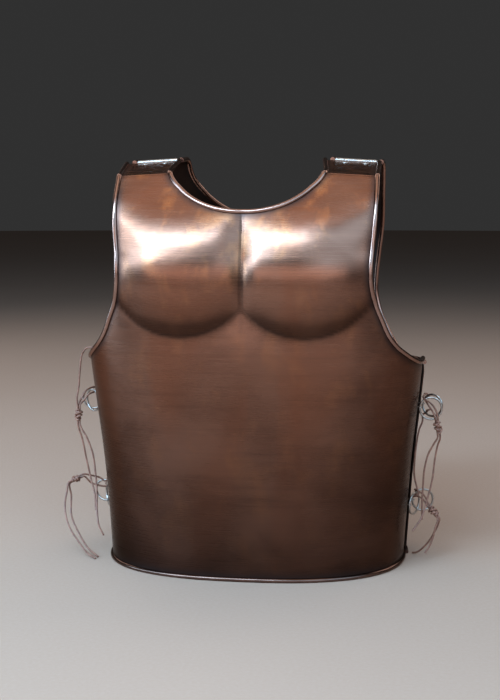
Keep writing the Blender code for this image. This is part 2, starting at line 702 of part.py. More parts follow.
def make_plate(name, plate, coarser, material):
    rim, kinds = outline(plate, coarser)
    loops = [rim]
    for side in (-1, 1):
        for height in EYE_HEIGHTS.values():
            loops.append(hole(plate, *eye_place(plate, side, height), EYE_HOLE_RADIUS))
        for u, t in rivet_places(plate, side):
            loops.append(hole(plate, u, t, RIVET_RADIUS + CLEARANCE))
    rows = row_heights(plate, coarser)
    corners, faces = sheet_mesh(plate, loops, kinds, rows, coarser * ROW_SPACING)
    return add_object(name, corners, faces, material)


def turned(profile, base, axis, sides):
    """A round solid, from radius and height pairs along an axis."""
    aside = np.cross(axis, np.array([0.0, 1.0, 0.0]))
    aside /= np.linalg.norm(aside)
    ahead = np.cross(axis, aside)
    corners = []
    for radius, height in profile:
        for k in range(sides):
            angle = 2 * math.pi * k / sides
            spoke = math.cos(angle) * aside + math.sin(angle) * ahead
            corners.append(base + height * axis + radius * spoke)
    faces = [tuple(range(sides)), tuple(range(len(corners) - sides, len(corners)))]
    for row in range(len(profile) - 1):
        for k in range(sides):
            a, b = row * sides + k, row * sides + (k + 1) % sides
            faces.append((a, b, b + sides, a + sides))
    return corners, faces


def wire(points, across, radius, sides, closed=False):
    """A round wire along points that lie in the plane square to across."""
    points = np.array(points)
    steps = np.roll(points, -1, axis=0) - points
    if not closed:
        steps[-1] = steps[-2]
    steps /= np.linalg.norm(steps, axis=1, keepdims=True)
    before = np.roll(steps, 1, axis=0)
    if not closed:
        before[0] = steps[0]
    corners = []
    for point, a, b in zip(points, before, steps):
        along = (a + b) / np.linalg.norm(a + b)
        aside = np.cross(along, across) / (along @ b)
        for k in range(sides):
            angle = 2 * math.pi * k / sides
            corners.append(point + radius * (math.cos(angle) * aside + math.sin(angle) * across))
    total = len(corners)
    faces = [] if closed else [tuple(range(sides)), tuple(range(total - sides, total))]
    for row in range(len(points) if closed else len(points) - 1):
        for k in range(sides):
            a, b = row * sides + k, row * sides + (k + 1) % sides
            faces.append((a, b, (b + sides) % total, (a + sides) % total))
    return corners, faces


def tab_frame(plate, side):
    """The middle of a hinge's axis, and the ways outwards along it, along the strap's top, and up."""
    middle = np.array([side * HINGE_APART / 2, SEAM_Y + plate.way * plate.hinge_out, HINGE_HEIGHT])
    along = np.array([side * math.cos(HINGE_SLOPE), 0.0, -math.sin(HINGE_SLOPE)])
    away = np.array([0.0, plate.way * math.cos(plate.top_tilt), -math.sin(plate.top_tilt)])
    away -= (away @ along) * along
    away /= np.linalg.norm(away)
    up = np.cross(along, away)
    return middle, along, away, up * np.sign(up[2])


def knuckle_spans(ends):
    """Where along the axis a leaf has its knuckles: at both ends, or in the middle between the other's."""
    half = HINGE_LENGTH / 2
    inner = half - END_KNUCKLE
    if ends:
        return [(-half, -inner - CLEARANCE / 2), (inner + CLEARANCE / 2, half)]
    return [(-inner + CLEARANCE / 2, inner - CLEARANCE / 2)]


def leaf_mesh(plate, side, ends, turns=8):
    """One leaf of a hinge: a flat plate under the strap's top, with its knuckles rolled round the pin."""
    middle, along, away, up = tab_frame(plate, side)
    neck = KNUCKLE_RADIUS + CLEARANCE
    half = HINGE_LENGTH / 2
    spans = knuckle_spans(ends)
    stops = sorted({-half, half, *[stop for span in spans for stop in span]})
    loops = [np.array([(stop, neck) for stop in stops] + [(half, LEAF_REACH), (-half, LEAF_REACH)])]
    angles = -2 * math.pi * np.arange(6) / 6
    for u, t in rivet_places(plate, side):
        spot = plate.point(u, t) - middle
        round_hole = np.stack([np.cos(angles), np.sin(angles)], axis=-1) * (RIVET_RADIUS + CLEARANCE)
        loops.append(np.array([spot @ along, spot @ away]) + round_hole)
    points, edges = loop_edges(loops)
    flat, triangles = triangles_in(points, edges, loops)
    corners = [middle + s * along + d * away - BARREL_RADIUS * up for s, d in flat]
    corners += [middle + s * along + d * away - KNUCKLE_RADIUS * up for s, d in flat]
    below = len(flat)
    faces = [tuple(face) for face in triangles]
    faces += [tuple(face + below) for face in triangles]
    faces += hole_walls(loops, below)
    count = len(loops[0])
    for k in range(count):
        after = (k + 1) % count
        span = (loops[0][k][0], loops[0][after][0])
        if loops[0][k][1] != neck or span not in spans:
            faces.append((k, k + below, after + below, after))
            continue
        rows = [(k, k + below, after, after + below)]
        for turn in range(turns + 1):
            angle = math.pi / 2 + KNUCKLE_TURN * turn / turns
            spoke = math.cos(angle) * away - math.sin(angle) * up
            first = len(corners)
            for s in span:
                corners.append(middle + s * along + BARREL_RADIUS * spoke)
                corners.append(middle + s * along + KNUCKLE_RADIUS * spoke)
            rows.append((first, first + 1, first + 2, first + 3))
        for (a, b, c, d), (e, f, g, h) in zip(rows, rows[1:]):
            faces += [(a, c, g, e), (b, d, h, f), (a, b, f, e), (c, d, h, g)]
        a, b, c, d = rows[-1]
        faces.append((a, b, d, c))
    return corners, faces


def rivet_mesh(plate, side, u, t):
    """A rivet through a strap's top and the leaf under it: a low head outside, a clenched end inside."""
    up = tab_frame(plate, side)[3]
    top = SHEET / 2 + CLEARANCE
    low = -SHEET / 2 - 2 * CLEARANCE - LEAF
    profile = (
        (0.55 * RIVET_HEAD_RADIUS, top + RIVET_HEAD),
        (RIVET_HEAD_RADIUS, top),
        (RIVET_RADIUS, top),
        (RIVET_RADIUS, low),
        (1.7 * RIVET_RADIUS, low),
        (1.2 * RIVET_RADIUS, low - 0.7 * RIVET_HEAD),
    )
    return turned(profile, plate.point(u, t), up, 6)


def pin_mesh(side):
    """A hinge's pin, with a small head at each end."""
    middle, along, _, _ = tab_frame(front, side)
    end = HINGE_LENGTH / 2 + CLEARANCE
    profile = (
        (PIN_HEAD_RADIUS, -end - PIN_HEAD),
        (PIN_HEAD_RADIUS, -end),
        (PIN_RADIUS, -end),
        (PIN_RADIUS, end),
        (PIN_HEAD_RADIUS, end),
        (PIN_HEAD_RADIUS, end + PIN_HEAD),
    )
    return turned(profile, middle, along, 8)


def eye_frame(plate, side, level):
    """The middle of an eye's loop, the way out of the sheet, the way backwards along it, and the way up."""
    u, t = eye_place(plate, side, EYE_HEIGHTS[level])
    out = plate.normal(u, t)
    back_way = np.array([-out[1], out[0], 0.0]) * side
    back_way /= np.linalg.norm(back_way)
    up = np.cross(out, back_way) * side
    return plate.point(u, t) + EYE_STANDOFF * out, out, back_way, up


def eye_mesh(plate, side, level, turns=6):
    """A split pin: two legs through the sheet, spread inside it, and a loop outside."""
    middle, out, back_way, up = eye_frame(plate, side, level)
    gap = math.asin(EYE_LEG_APART / EYE_LOOP_RADIUS)
    base = -EYE_STANDOFF - SHEET / 2 - CLEARANCE - EYE_WIRE_RADIUS
    half = [(-EYE_LEG, base - EYE_LEG_LIFT), (-EYE_LEG_APART, base)]
    places = list(half)
    for k in range(turns + 1):
        angle = -math.pi / 2 - gap - (2 * math.pi - 2 * gap) * k / turns
        places.append((EYE_LOOP_RADIUS * math.cos(angle), EYE_LOOP_RADIUS * math.sin(angle)))
    places += [(-a, b) for a, b in half[::-1]]
    points = [middle + a * back_way + b * out for a, b in places]
    return wire(points, up, EYE_WIRE_RADIUS, 5)


def ring_frame(plate, side, level):
    """A ring's centre, the way to it from its eye, and the way up."""
    middle, out, back_way, up = eye_frame(plate, side, level)
    swing = math.radians(RING_SWINGS[plate.way, side, level])
    way = math.cos(swing) * out + math.sin(swing) * back_way
    return middle + RING_RADIUS * way, way, up


def ring_mesh(plate, side, level, turns=10):
    centre, way, up = ring_frame(plate, side, level)
    angles = [2 * math.pi * k / turns for k in range(turns)]
    points = [centre + RING_RADIUS * (math.cos(a) * way + math.sin(a) * up) for a in angles]
    return wire(points, np.cross(way, up), RING_WIRE_RADIUS, 5, closed=True)


def place_from(side, level, spot):
    """A place given in millimetres outwards, back and up from the loop of a front eye."""
    middle = eye_frame(front, side, level)[0]
    return middle + 0.001 * np.array([side * spot[0], spot[1], spot[2]])


def knot_frame(side, level):
    """A knot's middle, the way along it, the ways outwards and back across it, and its half length and width."""
    hand = "left" if side > 0 else "right"
    middle, way, half_length, half_width = LACE_KNOTS[hand, level]
    axis = np.array([side * way[0], way[1], way[2]])
    axis /= np.linalg.norm(axis)
    out = side * np.cross(axis, np.array([0.0, 1.0, 0.0]))
    out /= np.linalg.norm(out)
    behind = -side * np.cross(axis, out)
    return place_from(side, level, middle), axis, out, behind, 0.001 * half_length, 0.001 * half_width


def knot_exit(side, level, end, outwards, back):
    """Where a lace meets a knot's end, and the place a little further out."""
    middle, axis, out, behind, half_length, _ = knot_frame(side, level)
    start = middle + 0.001 * (outwards * out + back * behind) + end * (half_length + CLEARANCE) * axis
    return [start, start + end * KNOT_LEAD * axis]


def route_points(side, level, route):
    """A lace's route as places: its own, and those round the wires of rings."""
    points = []
    for row in route:
        if not isinstance(row[0], str):
            points.append(place_from(side, level, row))
            continue
        if row[0] == "knot":
            ends = knot_exit(side, level, *row[1:])
            points += ends[::-1] if points else ends
            continue
        where, ring_level, place, turns = row
        centre, way, up = ring_frame(PLATES[where], side, ring_level)
        place = math.radians(place)
        inwards = math.cos(place) * way - math.sin(place) * up
        behind = side * np.cross(up, way)
        for turn in turns:
            turn = math.radians(turn)
            round_wire = math.cos(turn) * inwards + math.sin(turn) * behind
            points.append(centre - RING_RADIUS * inwards + LACE_ROUND_WIRE * round_wire)
    return points


def lace_line(spots):
    """Points along a smooth curve through a lace's route, closer together where it turns."""
    line = smooth_curve(spots, LACE_SAMPLES)
    steps = np.diff(line, axis=0)
    lengths = np.linalg.norm(steps, axis=1)
    ways = steps / lengths[:, None]
    turns = np.arccos(np.clip((ways[1:] * ways[:-1]).sum(axis=1), -1.0, 1.0))
    along = np.concatenate([[0.0], np.cumsum(lengths)]) / LACE_STEP
    along[2:] += np.cumsum(turns) / LACE_TURN
    count = math.ceil(along[-1])
    at = np.linspace(0.0, along[-1], count + 1)
    return np.stack([np.interp(at, along, column) for column in line.T], axis=-1)


def add_lace(name, line, material):
    """A round lace along a line, as a curve with closed ends."""
    curve = bpy.data.curves.new(name, "CURVE")
    curve.dimensions = "3D"
    curve.resolution_u = 1
    curve.bevel_depth = LACE_RADIUS
    curve.bevel_resolution = 1
    curve.use_fill_caps = True
    spline = curve.splines.new("POLY")
    spline.points.add(len(line) - 1)
    for point, spot in zip(spline.points, line):
        point.co = (*spot, 1.0)
    curve.materials.append(material)
    made = bpy.data.objects.new(name, curve)
    bpy.context.collection.objects.link(made)
    return made


def knot_mesh(side, level):
    """A knot as a rounded lump with flat ends, where the laces meet it."""
    middle, axis, _, _, half_length, half_width = knot_frame(side, level)
    profile = [(0.6, -1.0), (0.94, -0.6), (1.0, 0.0), (0.94, 0.6), (0.6, 1.0)]
    return turned([(half_width * a, half_length * b) for a, b in profile], middle, axis, 8)


for thing in list(bpy.data.objects):
    bpy.data.objects.remove(thing, do_unlink=True)

copper = make_material("copper", (0.36, 0.17, 0.09), 1.0, 0.38)
steel = make_material("steel", (0.55, 0.53, 0.50), 1.0, 0.35)
leather = make_material("leather", (0.16, 0.075, 0.045), 0.0, 0.6)

SIDES = {"left": 1, "right": -1}
front = Plate(-1)
back = Plate(1)
PLATES = {"front": front, "back": back}
make_plate("breastplate", front, 1.0, copper)
make_plate("backplate", back, BACK_COARSER, copper)

for hand, side in SIDES.items():
    add_object(f"hinge_pin_{hand}", *pin_mesh(side), steel)
    for where, plate in PLATES.items():
        ends = (side > 0) == (plate is back)
        add_object(f"hinge_leaf_{where}_{hand}", *leaf_mesh(plate, side, ends), steel)
        for (u, t), spot in zip(rivet_places(plate, side), ("inner", "outer")):
            add_object(f"hinge_rivet_{where}_{hand}_{spot}", *rivet_mesh(plate, side, u, t), steel)
        for level in EYE_HEIGHTS:
            add_object(f"ring_eye_{where}_{hand}_{level}", *eye_mesh(plate, side, level), steel)
            add_object(f"side_ring_{where}_{hand}_{level}", *ring_mesh(plate, side, level), steel)

for (hand, level, kind), route in LACE_ROUTES.items():
    line = lace_line(route_points(SIDES[hand], level, route))
    add_lace(f"lace_{hand}_{level}_{kind}", line, leather)
for hand, level in LACE_KNOTS:
    add_object(f"lace_{hand}_{level}_knot", *knot_mesh(SIDES[hand], level), leather)
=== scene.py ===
"""Looks of the muscle cuirass: antiqued copper plates, steel hinges and rings, and leather laces.

Metres, +Z up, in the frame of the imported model: the front faces -Y and +X is the wearer's left. The shapes
are those of the construction, from the same sizes, on finer meshes.
"""

import math

import bmesh
import bpy
import numpy as np
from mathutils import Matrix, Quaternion, Vector, kdtree
from mathutils.geometry import delaunay_2d_cdt


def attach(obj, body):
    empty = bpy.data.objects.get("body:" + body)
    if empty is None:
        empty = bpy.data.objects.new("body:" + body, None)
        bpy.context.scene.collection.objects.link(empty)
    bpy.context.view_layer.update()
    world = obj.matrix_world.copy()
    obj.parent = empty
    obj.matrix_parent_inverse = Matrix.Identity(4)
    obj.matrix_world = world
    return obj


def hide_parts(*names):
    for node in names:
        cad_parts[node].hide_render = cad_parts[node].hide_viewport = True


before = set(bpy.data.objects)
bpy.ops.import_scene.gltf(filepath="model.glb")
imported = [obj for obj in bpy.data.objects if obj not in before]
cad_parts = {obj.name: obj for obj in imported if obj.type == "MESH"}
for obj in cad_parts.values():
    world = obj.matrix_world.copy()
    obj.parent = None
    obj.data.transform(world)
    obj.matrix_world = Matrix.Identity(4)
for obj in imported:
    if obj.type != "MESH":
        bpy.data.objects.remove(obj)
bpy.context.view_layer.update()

# Sheet and rolled edges
SHEET = 0.0012
BEAD_RADIUS = 0.0028
BEAD_LIFT = 0.0007
CLEARANCE = 0.0003

# Body of both plates, measured outwards from the plane of the side seams
CHEST_HALF_WIDTH = 0.193
FRONT_DEPTH = 0.145
BACK_DEPTH = 0.124
SEAM_GAP = 0.012

# Openings, along the edge of the sheet that the rolled edge stands on
STRAP_OUTER = 0.1404
NECK_HALF_WIDTH = 0.0905
NECK_WIDEST_HEIGHT = 0.465

# Pectorals, as domes on the breastplate
PEC_HEIGHT = 0.0175
PEC_RADIUS = 0.089
PEC_UPPER_RADIUS = 0.090
PEC_APART = 0.137
PEC_CENTRE_HEIGHT = 0.361
PEC_SOFTNESS = 0.05
PEC_UPPER_SOFTNESS = 0.30
PEC_FULLNESS = 0.64
CLEFT_WIDTH = 0.0095
CLEFT_SHARE = 0.62
CLEFT_POWER = 1.25

# Shoulders: the hinges' axes, and where the straps' own profile blends in
HINGE_HEIGHT = 0.4625
HINGE_APART = 0.2297
HINGE_SLOPE = math.radians(3.3)
STRAP_BLEND_LOW = 0.360
STRAP_BLEND_HIGH = 0.428

# Hinges: the leaves lie under the straps' tops, and the axis is HINGE_DROP above the middle of the sheet
HINGE_LENGTH = 0.046
END_KNUCKLE = 0.010
PIN_RADIUS = 0.0012
PIN_PLAY = 0.0003
PIN_HEAD_RADIUS = 0.0019
PIN_HEAD = 0.0006
LEAF = 0.0010
LEAF_REACH = 0.019
KNUCKLE_TURN = math.radians(290.0)
BARREL_RADIUS = PIN_RADIUS + PIN_PLAY
KNUCKLE_RADIUS = BARREL_RADIUS + LEAF
HINGE_DROP = BARREL_RADIUS - CLEARANCE - SHEET / 2
HINGE_SETBACK = KNUCKLE_RADIUS + 0.0008
LEAF_NECK = KNUCKLE_RADIUS + CLEARANCE
RIVET_RADIUS = 0.0013
RIVET_INSET = 0.010
RIVET_HEAD_RADIUS = 0.0031
RIVET_HEAD = 0.0012
RIVET_HEAD_FLAT = math.radians(80.0)

# The rolled edge's section, from the sheet's outer face round to its inner one; the rim rests on the floor
BEAD_ANGLES = [math.radians(angle) for angle in np.linspace(174.0, -152.0, 17)]
BEAD_OFFSET = 0.95 * BEAD_RADIUS
RIM_LIFT = BEAD_OFFSET + BEAD_RADIUS * math.cos(math.radians(42.0))

# Profiles of a rivet's clenched end and of a pin's head: radius and height, as shares of the shaft or head
RIVET_CLENCH = ((1.6, 0.0), (1.7, 0.2), (1.2, 0.7))
PIN_HEAD_PROFILE = ((1.0, 0.0), (1.0, 0.5), (0.9, 0.85), (0.6, 1.0))

# Meshing of the sheets: steps along their edges, then the spacing of the points between, whose rows are
# ROW_SHARE of it apart, with straight columns beside the crease
FLAT_HALF_WIDTH = 1.25 * CHEST_HALF_WIDTH
EDGE_STEP = 0.0032
EDGE_CLEAR = 0.3 * EDGE_STEP
RIM_STEP = 1.3 * EDGE_STEP
SIDE_STEP = 1.6 * EDGE_STEP
BEND_ROW = 0.001
CHEST_START = 0.250
BELLY_SPACING = 0.0062
CHEST_SPACING = 0.0030
ROW_SHARE = 0.87
CREASE_SPACING = 0.0014
CREASE_COLUMNS = 8
CREASE_CLEAR = 0.4 * CHEST_SPACING
CREASE_TOP_REACH = 0.02
PROBE = 0.001

# Points along a curve before it is cut into even steps, and steps round what is round
CURVE_POINTS = 400
EDGE_POINTS = 200
TOP_POINTS = 60
LACE_POINTS = 1500
HOLE_SIDES = 12
LEAF_HOLE_SIDES = 20
KNUCKLE_STEPS = 40
RIVET_SIDES = 28
RIVET_HEAD_STEPS = 7
PIN_SIDES = 24
EYE_STEPS = 28
EYE_SIDES = 10
RING_STEPS = 72
RING_SIDES = 14
SHARP_ANGLE = math.radians(38.0)

# Dark line beside the rolled edges, and painted shade: how far the line reaches from a rolled edge, how
# hollow the sheet is where its painted shade is darkest, where on the flanks and at what downward slope the
# painted shade starts, and how strong it gets there
GROOVE_REACH = 0.0045
GROOVE_PARTS = 4
HOLLOW_BEND = 60.0
HOLLOW_PROBE = 0.003
FLANK_START = 0.34
FLANK_DARK = 0.95
FLANK_FADE = 0.65
FLANK_FADE_START = 0.15
UNDER_START = -0.10
UNDER_END = -0.32
UNDER_DARK = 0.80

# Side rings, and the split pins that are their eyes
EYE_HEIGHTS = {"upper": 0.180, "lower": 0.064}
EYE_INSET = 0.009
EYE_WIRE_RADIUS = 0.00055
EYE_LEG_APART = 0.0007
EYE_LEG = 0.0048
EYE_LEG_LIFT = 0.0008
EYE_LOOP_RADIUS = 0.00225
EYE_STANDOFF = 0.0034
EYE_HOLE_RADIUS = EYE_LEG_APART + EYE_WIRE_RADIUS + 0.00055
RING_RADIUS = 0.01275
RING_WIRE_RADIUS = 0.00125

# How far back from straight out each ring is swung, in degrees: plate, side, level
RING_SWINGS = {
    (-1, 1, "upper"): 8,
    (-1, 1, "lower"): 68,
    (-1, -1, "upper"): 40,
    (-1, -1, "lower"): 70,
    (1, 1, "upper"): -30,
    (1, 1, "lower"): 15,
    (1, -1, "upper"): -8,
    (1, -1, "lower"): 15,
}

# Laces
LACE_RADIUS = 0.0011
LACE_STEP = 0.0012
KNOT_LEAD = 0.003
LACE_ROUND_WIRE = RING_WIRE_RADIUS + LACE_RADIUS + 0.0010
MM = 0.001

# Windings of the lace round a knot's core, and the core's thickness as a share of a lace's
KNOT_WINDINGS = (
    # turns, start, width, tilt
    (2.6, 0.4, 0.92, 0.18),
    (-1.2, 1.9, 1.05, -0.3),
)
KNOT_CORE = 2.2
KNOT_POINTS = 90
KNOT_CORE_POINTS = 12
KNOT_TAPER = 0.25
KNOT_WOUND_LENGTH = 0.8

# Routes of the laces. A row of three numbers is a place: millimetres outwards, back and up from the loop of
# the front eye at the same hand and level. A row that starts with a plate and a level is a bend round the
# wire of that ring: the place on the ring in degrees upwards from its eye, then where the lace is round the
# wire, in degrees: 0 is inside the ring, 90 behind it, 180 outside it and 270 before it. A row that starts
# with "knot" leaves an end of the knot squarely: 1 or -1 along it, then the place there, outwards and back.
LACE_ROUTES = {
    ("left", "upper", "loop"): (
        ("knot", -1, -1.4, 0.0), (14.6, -5.4, -3.4), (9.6, -4.0, 3.6),
        ("front", "upper", 50, (-15, 15)), (6.6, 15.0, 8.4), ("back", "upper", 50, (-20, 35, 90, 145, 200)),
        (5.6, 15.0, 13.2), ("front", "upper", 50, (165, 195, 240)),
        (11.8, -5.2, 6.4), (17.8, -6.0, -1.0), ("knot", -1, 1.4, 0.0),
    ),
    ("left", "upper", "tail_front"): (
        ("knot", 1, -1.4, -0.3), (17.0, -4.6, -41.2), (11.1, -3.9, -52.5), (6.5, -4.9, -70.4),
        (4.9, -5.9, -92.5), (4.1, -7.5, -111.0), (4.4, -8.5, -130.7),
    ),
    ("left", "upper", "tail_back"): (
        ("knot", 1, 1.4, 0.3), (20.8, -0.5, -45.2), (18.2, 0.6, -59.5), (15.6, -1.9, -83.3),
        (10.0, -7.5, -107.0), (4.0, -14.5, -126.5), (-6.0, -22.5, -141.3),
    ),
    ("left", "upper", "strand"): (
        (11.4, 20.6, -5.6), ("back", "upper", -50, (-15, 40, 90, 140, 185)), (2.8, 21.0, -20.0),
        (-0.7, 17.6, -29.0), (-3.4, 16.1, -43.5), (-5.6, 15.1, -66.4), (-5.8, 15.0, -83.2),
        ("front", "lower", 100, (215, 270, 325)), (-8.6, 14.6, -109.6),
    ),
    ("left", "lower", "loop"): (
        ("knot", -1, -1.3, 0.0), (16.2, 12.0, 3.6), ("front", "lower", 130, (-25, 15, 60)),
        ("back", "lower", 50, (-20, 35, 90, 145, 200)), ("front", "lower", 130, (165, 215)),
        (17.6, 15.0, 7.4), ("knot", -1, 1.3, 0.0),
    ),
    ("left", "lower", "tail_long"): (
        ("knot", 1, 1.0, 1.0), (33.2, 4.6, -24.0), (28.8, 6.6, -34.0), (23.6, 9.2, -44.0),
        (16.0, 13.0, -54.0), (8.6, 17.4, -60.8), (3.6, 21.0, -62.4),
    ),
    ("left", "lower", "tail_short"): (
        ("knot", 1, -1.0, -1.0), (30.2, -1.0, -26.0), (27.6, -1.6, -38.0), (23.6, -3.6, -48.0),
        (18.4, -6.0, -55.6),
    ),
    ("right", "upper", "loop"): (
        ("knot", -1, -1.5, -0.4), (20.6, 5.2, -0.2), ("front", "upper", 120, (-10, 25)),
        ("back", "upper", 60, (-20, 35, 90, 145, 200)), ("front", "upper", 120, (165, 225)),
        (23.4, 5.6, 3.2), ("knot", -1, 0.4, 1.5),
    ),
    ("right", "upper", "tail_front"): (
        ("knot", 1, -1.3, -0.3), (15.8, -2.4, -46.0), (9.4, -3.2, -62.7), (5.4, -5.8, -86.4),
        (2.6, -11.0, -109.7), (0.8, -17.6, -130.3), (-3.0, -25.8, -145.5), (-12.0, -38.0, -154.8),
    ),
    ("right", "upper", "tail_back"): (
        ("knot", 1, 1.3, 0.3), (23.4, 2.4, -46.9), (18.4, 3.4, -73.5), (12.8, 1.6, -97.0),
        (7.3, -2.9, -113.9), (4.6, -9.9, -132.0),
    ),
    ("right", "upper", "arch"): (
        ("knot", -1, 1.2, -1.1), (28.2, -0.8, 2.0), (26.4, 0.4, 14.4), (23.9, -0.9, 36.8), (19.2, -3.9, 57.8),
        (14.3, -6.4, 63.2), (8.6, -8.9, 64.9), (2.3, -10.9, 63.2), (-1.5, -12.6, 59.2), (-4.4, -13.9, 51.0),
        (-6.0, -14.9, 41.0),
    ),
    ("right", "lower", "loop"): (
        ("knot", -1, -1.3, 0.0), (25.0, 7.0, 13.8), (14.0, 11.0, 9.4), ("front", "lower", 110, (-10, 25)),
        ("back", "lower", 70, (-20, 35, 90, 145, 200)), ("front", "lower", 110, (170, 200)),
        (16.0, 15.0, 18.6), (26.0, 9.0, 22.4), ("knot", -1, 1.3, 0.0),
    ),
    ("right", "lower", "tail_outer"): (
        ("knot", 1, 1.0, -1.0), (51.8, -5.6, 3.8), (53.0, -9.8, -8.6), (51.4, -14.8, -18.5),
        (44.6, -23.8, -33.2), (29.1, -36.8, -48.9), (14.8, -48.8, -59.2), (3.5, -56.8, -62.4),
    ),
    ("right", "lower", "tail_inner"): (
        ("knot", 1, -1.0, 1.0), (48.0, 0.4, -1.2), (45.6, -8.8, -23.5), (32.8, -22.8, -41.6),
        (17.4, -36.8, -56.2), (2.7, -48.8, -62.4),
    ),
}

# Knots of the laces, in the same way: the middle, the way along the knot, its half length and half width
LACE_KNOTS = {
    ("left", "upper"): ((20.8, -5.6, -21.2), (0.15, 0.05, -1.0), 8.2, 5.0),
    ("left", "lower"): ((27.4, 5.4, -7.6), (0.62, -0.30, -0.72), 6.8, 5.0),
    ("right", "upper"): ((26.4, -0.4, -17.2), (0.0, -0.05, -1.0), 6.8, 5.0),
    ("right", "lower"): ((41.4, 1.0, 19.4), (0.80, -0.20, -0.42), 5.0, 4.6),
}

# The plane of the side seams, placed so that the origin is midway between front and back
SEAM_Y = (FRONT_DEPTH - BACK_DEPTH) / 2 + 0.006

# The photo's camera: where it stands from the plane of the side seams, how it looks, and its lens
CAMERA_TURN = math.radians(8.0)
CAMERA_DISTANCE = 1.6
CAMERA_HEIGHT = 0.427
CAMERA_PITCH = math.radians(6.606)
CAMERA_LENS = 69.94
CAMERA_SENSOR = 36.0
CAMERA_SHIFT = -9.12 / 700
CAMERA_NEAR = 0.05

# The studio: its floor, the grey round it, and softboxes that face the cuirass at the height LIGHT_AIM. Turn
# and rise are the way to a softbox in degrees, turn 0 being ahead of the chest, and roll turns it about that.
FLOOR_RADIUS = 14.0
FLOOR_SIDES = 96
WORLD_GREY = 0.03
LIGHT_AIM = 0.30
COOL = (0.41, 0.70, 1.0)
PALE = (0.92, 0.90, 0.93)
WARM = (1.0, 0.86, 0.72)
WHITE = (1.0, 1.0, 1.0)
LIGHTS = (
    # name, turn, rise, distance, wide, tall, power, roll, colour
    ("key", -27.0, 36.5, 2.20, 1.8, 0.42, 63.0, 32.0, COOL),
    ("key_tail", -58.0, 15.0, 2.20, 1.3, 0.36, 12.8, 34.0, COOL),
    ("key_halo", -35.0, 34.0, 2.15, 2.9, 1.00, 44.0, 36.0, COOL),
    ("key_side", -78.0, 4.0, 2.30, 0.9, 0.60, 12.8, 10.0, COOL),
    ("fill", 38.0, 30.0, 2.60, 2.3, 1.20, 27.0, 0.0, COOL),
    ("fill_wide", 38.0, 30.0, 2.60, 3.2, 2.00, 38.5, 0.0, COOL),
    ("top", -8.0, 72.0, 2.00, 2.4, 1.30, 9.5, 0.0, WARM),
    ("low_front", -4.0, 6.5, 2.60, 4.4, 0.80, 17.5, 0.0, PALE),
    ("low_left", -78.0, 11.0, 2.60, 2.6, 0.80, 1.5, 0.0, WARM),
    ("low_right", 72.0, 11.0, 2.60, 2.2, 0.80, 2.5, 0.0, WARM),
    ("back_left", 132.0, 30.0, 2.80, 1.8, 1.30, 13.0, 0.0, WHITE),
    ("back_right", -132.0, 30.0, 2.80, 1.8, 1.30, 13.0, 0.0, WHITE),
    ("back_top", 180.0, 66.0, 2.40, 2.4, 1.00, 12.0, 0.0, WHITE),
)

# Colours of the copper: bare metal, what age leaves on it, painted shade, what is rubbed bright with a
# painted highlight, and the tint of its sheen
BROWN = (0.190, 0.084, 0.054)
LIGHT_BROWN = (0.290, 0.138, 0.092)
RED_BROWN = (0.27, 0.092, 0.046)
ORANGE = (0.50, 0.205, 0.092)
PAINTED_SHADE_BROWN = (0.027, 0.0135, 0.0095)
BAND_BROWN = (0.040, 0.020, 0.016)
BRUSHED_BROWN = (0.060, 0.034, 0.028)
HOLLOW_SHADE_BROWN = (0.035, 0.020, 0.016)
GROOVE_BROWN = (0.030, 0.022, 0.022)
INSIDE_BROWN = (0.030, 0.022, 0.019)
RUBBED_AND_HIGHLIGHT = (0.34, 0.205, 0.165)
EDGE_TINT = (0.66, 0.61, 0.58, 1.0)

# Heights in the copper's finish: painted shade grows below LOW_HEIGHT, the orange patches are full above
# ORANGE_HEIGHT, and the rolled edge is duller below RIM_HEIGHT, with painted shade near the floor
LOW_HEIGHT = 0.30
ORANGE_HEIGHT = 0.43
RIM_HEIGHT = 0.10

# Numbers from 0 to 1 that the plates' meshes carry for the copper's finish
MARKS = ("groove", "hollow", "bead", "within", "shade")

# Colours of the other materials
STEEL = (0.54, 0.48, 0.44)
DULL_STEEL = (0.30, 0.25, 0.215)
LEATHER = (0.125, 0.048, 0.030)
LIGHT_LEATHER = (0.330, 0.148, 0.095)
LEATHER_GRAIN = (0.045, 0.020, 0.014)
FLOOR = (0.402, 0.262, 0.190)
LIGHT_FLOOR = (0.442, 0.298, 0.224)

# Layers of noise in the copper
COPPER_NOISE = {
    # name: scale along x, y and z per metre, detail, roughness, shift, warp
    "cloud": ((9.0, 9.0, 14.0), 4.0, 0.55, (0.0, 0.0, 0.0), 0.4),
    "blotch": ((34.0, 34.0, 19.0), 4.0, 0.60, (3.1, 0.7, 1.9), 0.3),
    "band": ((7.0, 7.0, 130.0), 4.0, 0.60, (0.3, 5.2, 2.2), 0.0),
    "column": ((13.0, 13.0, 3.0), 3.0, 0.50, (2.6, 4.4, 0.9), 0.5),
    "brush": ((16.0, 16.0, 900.0), 3.0, 0.65, (0.0, 0.0, 0.0), 0.0),
    "scratch": ((22.0, 22.0, 2600.0), 2.0, 0.60, (7.7, 1.2, 0.4), 0.0),
    "dent": ((26.0, 26.0, 26.0), 2.0, 0.50, (1.0, 2.0, 3.0), 0.0),
}
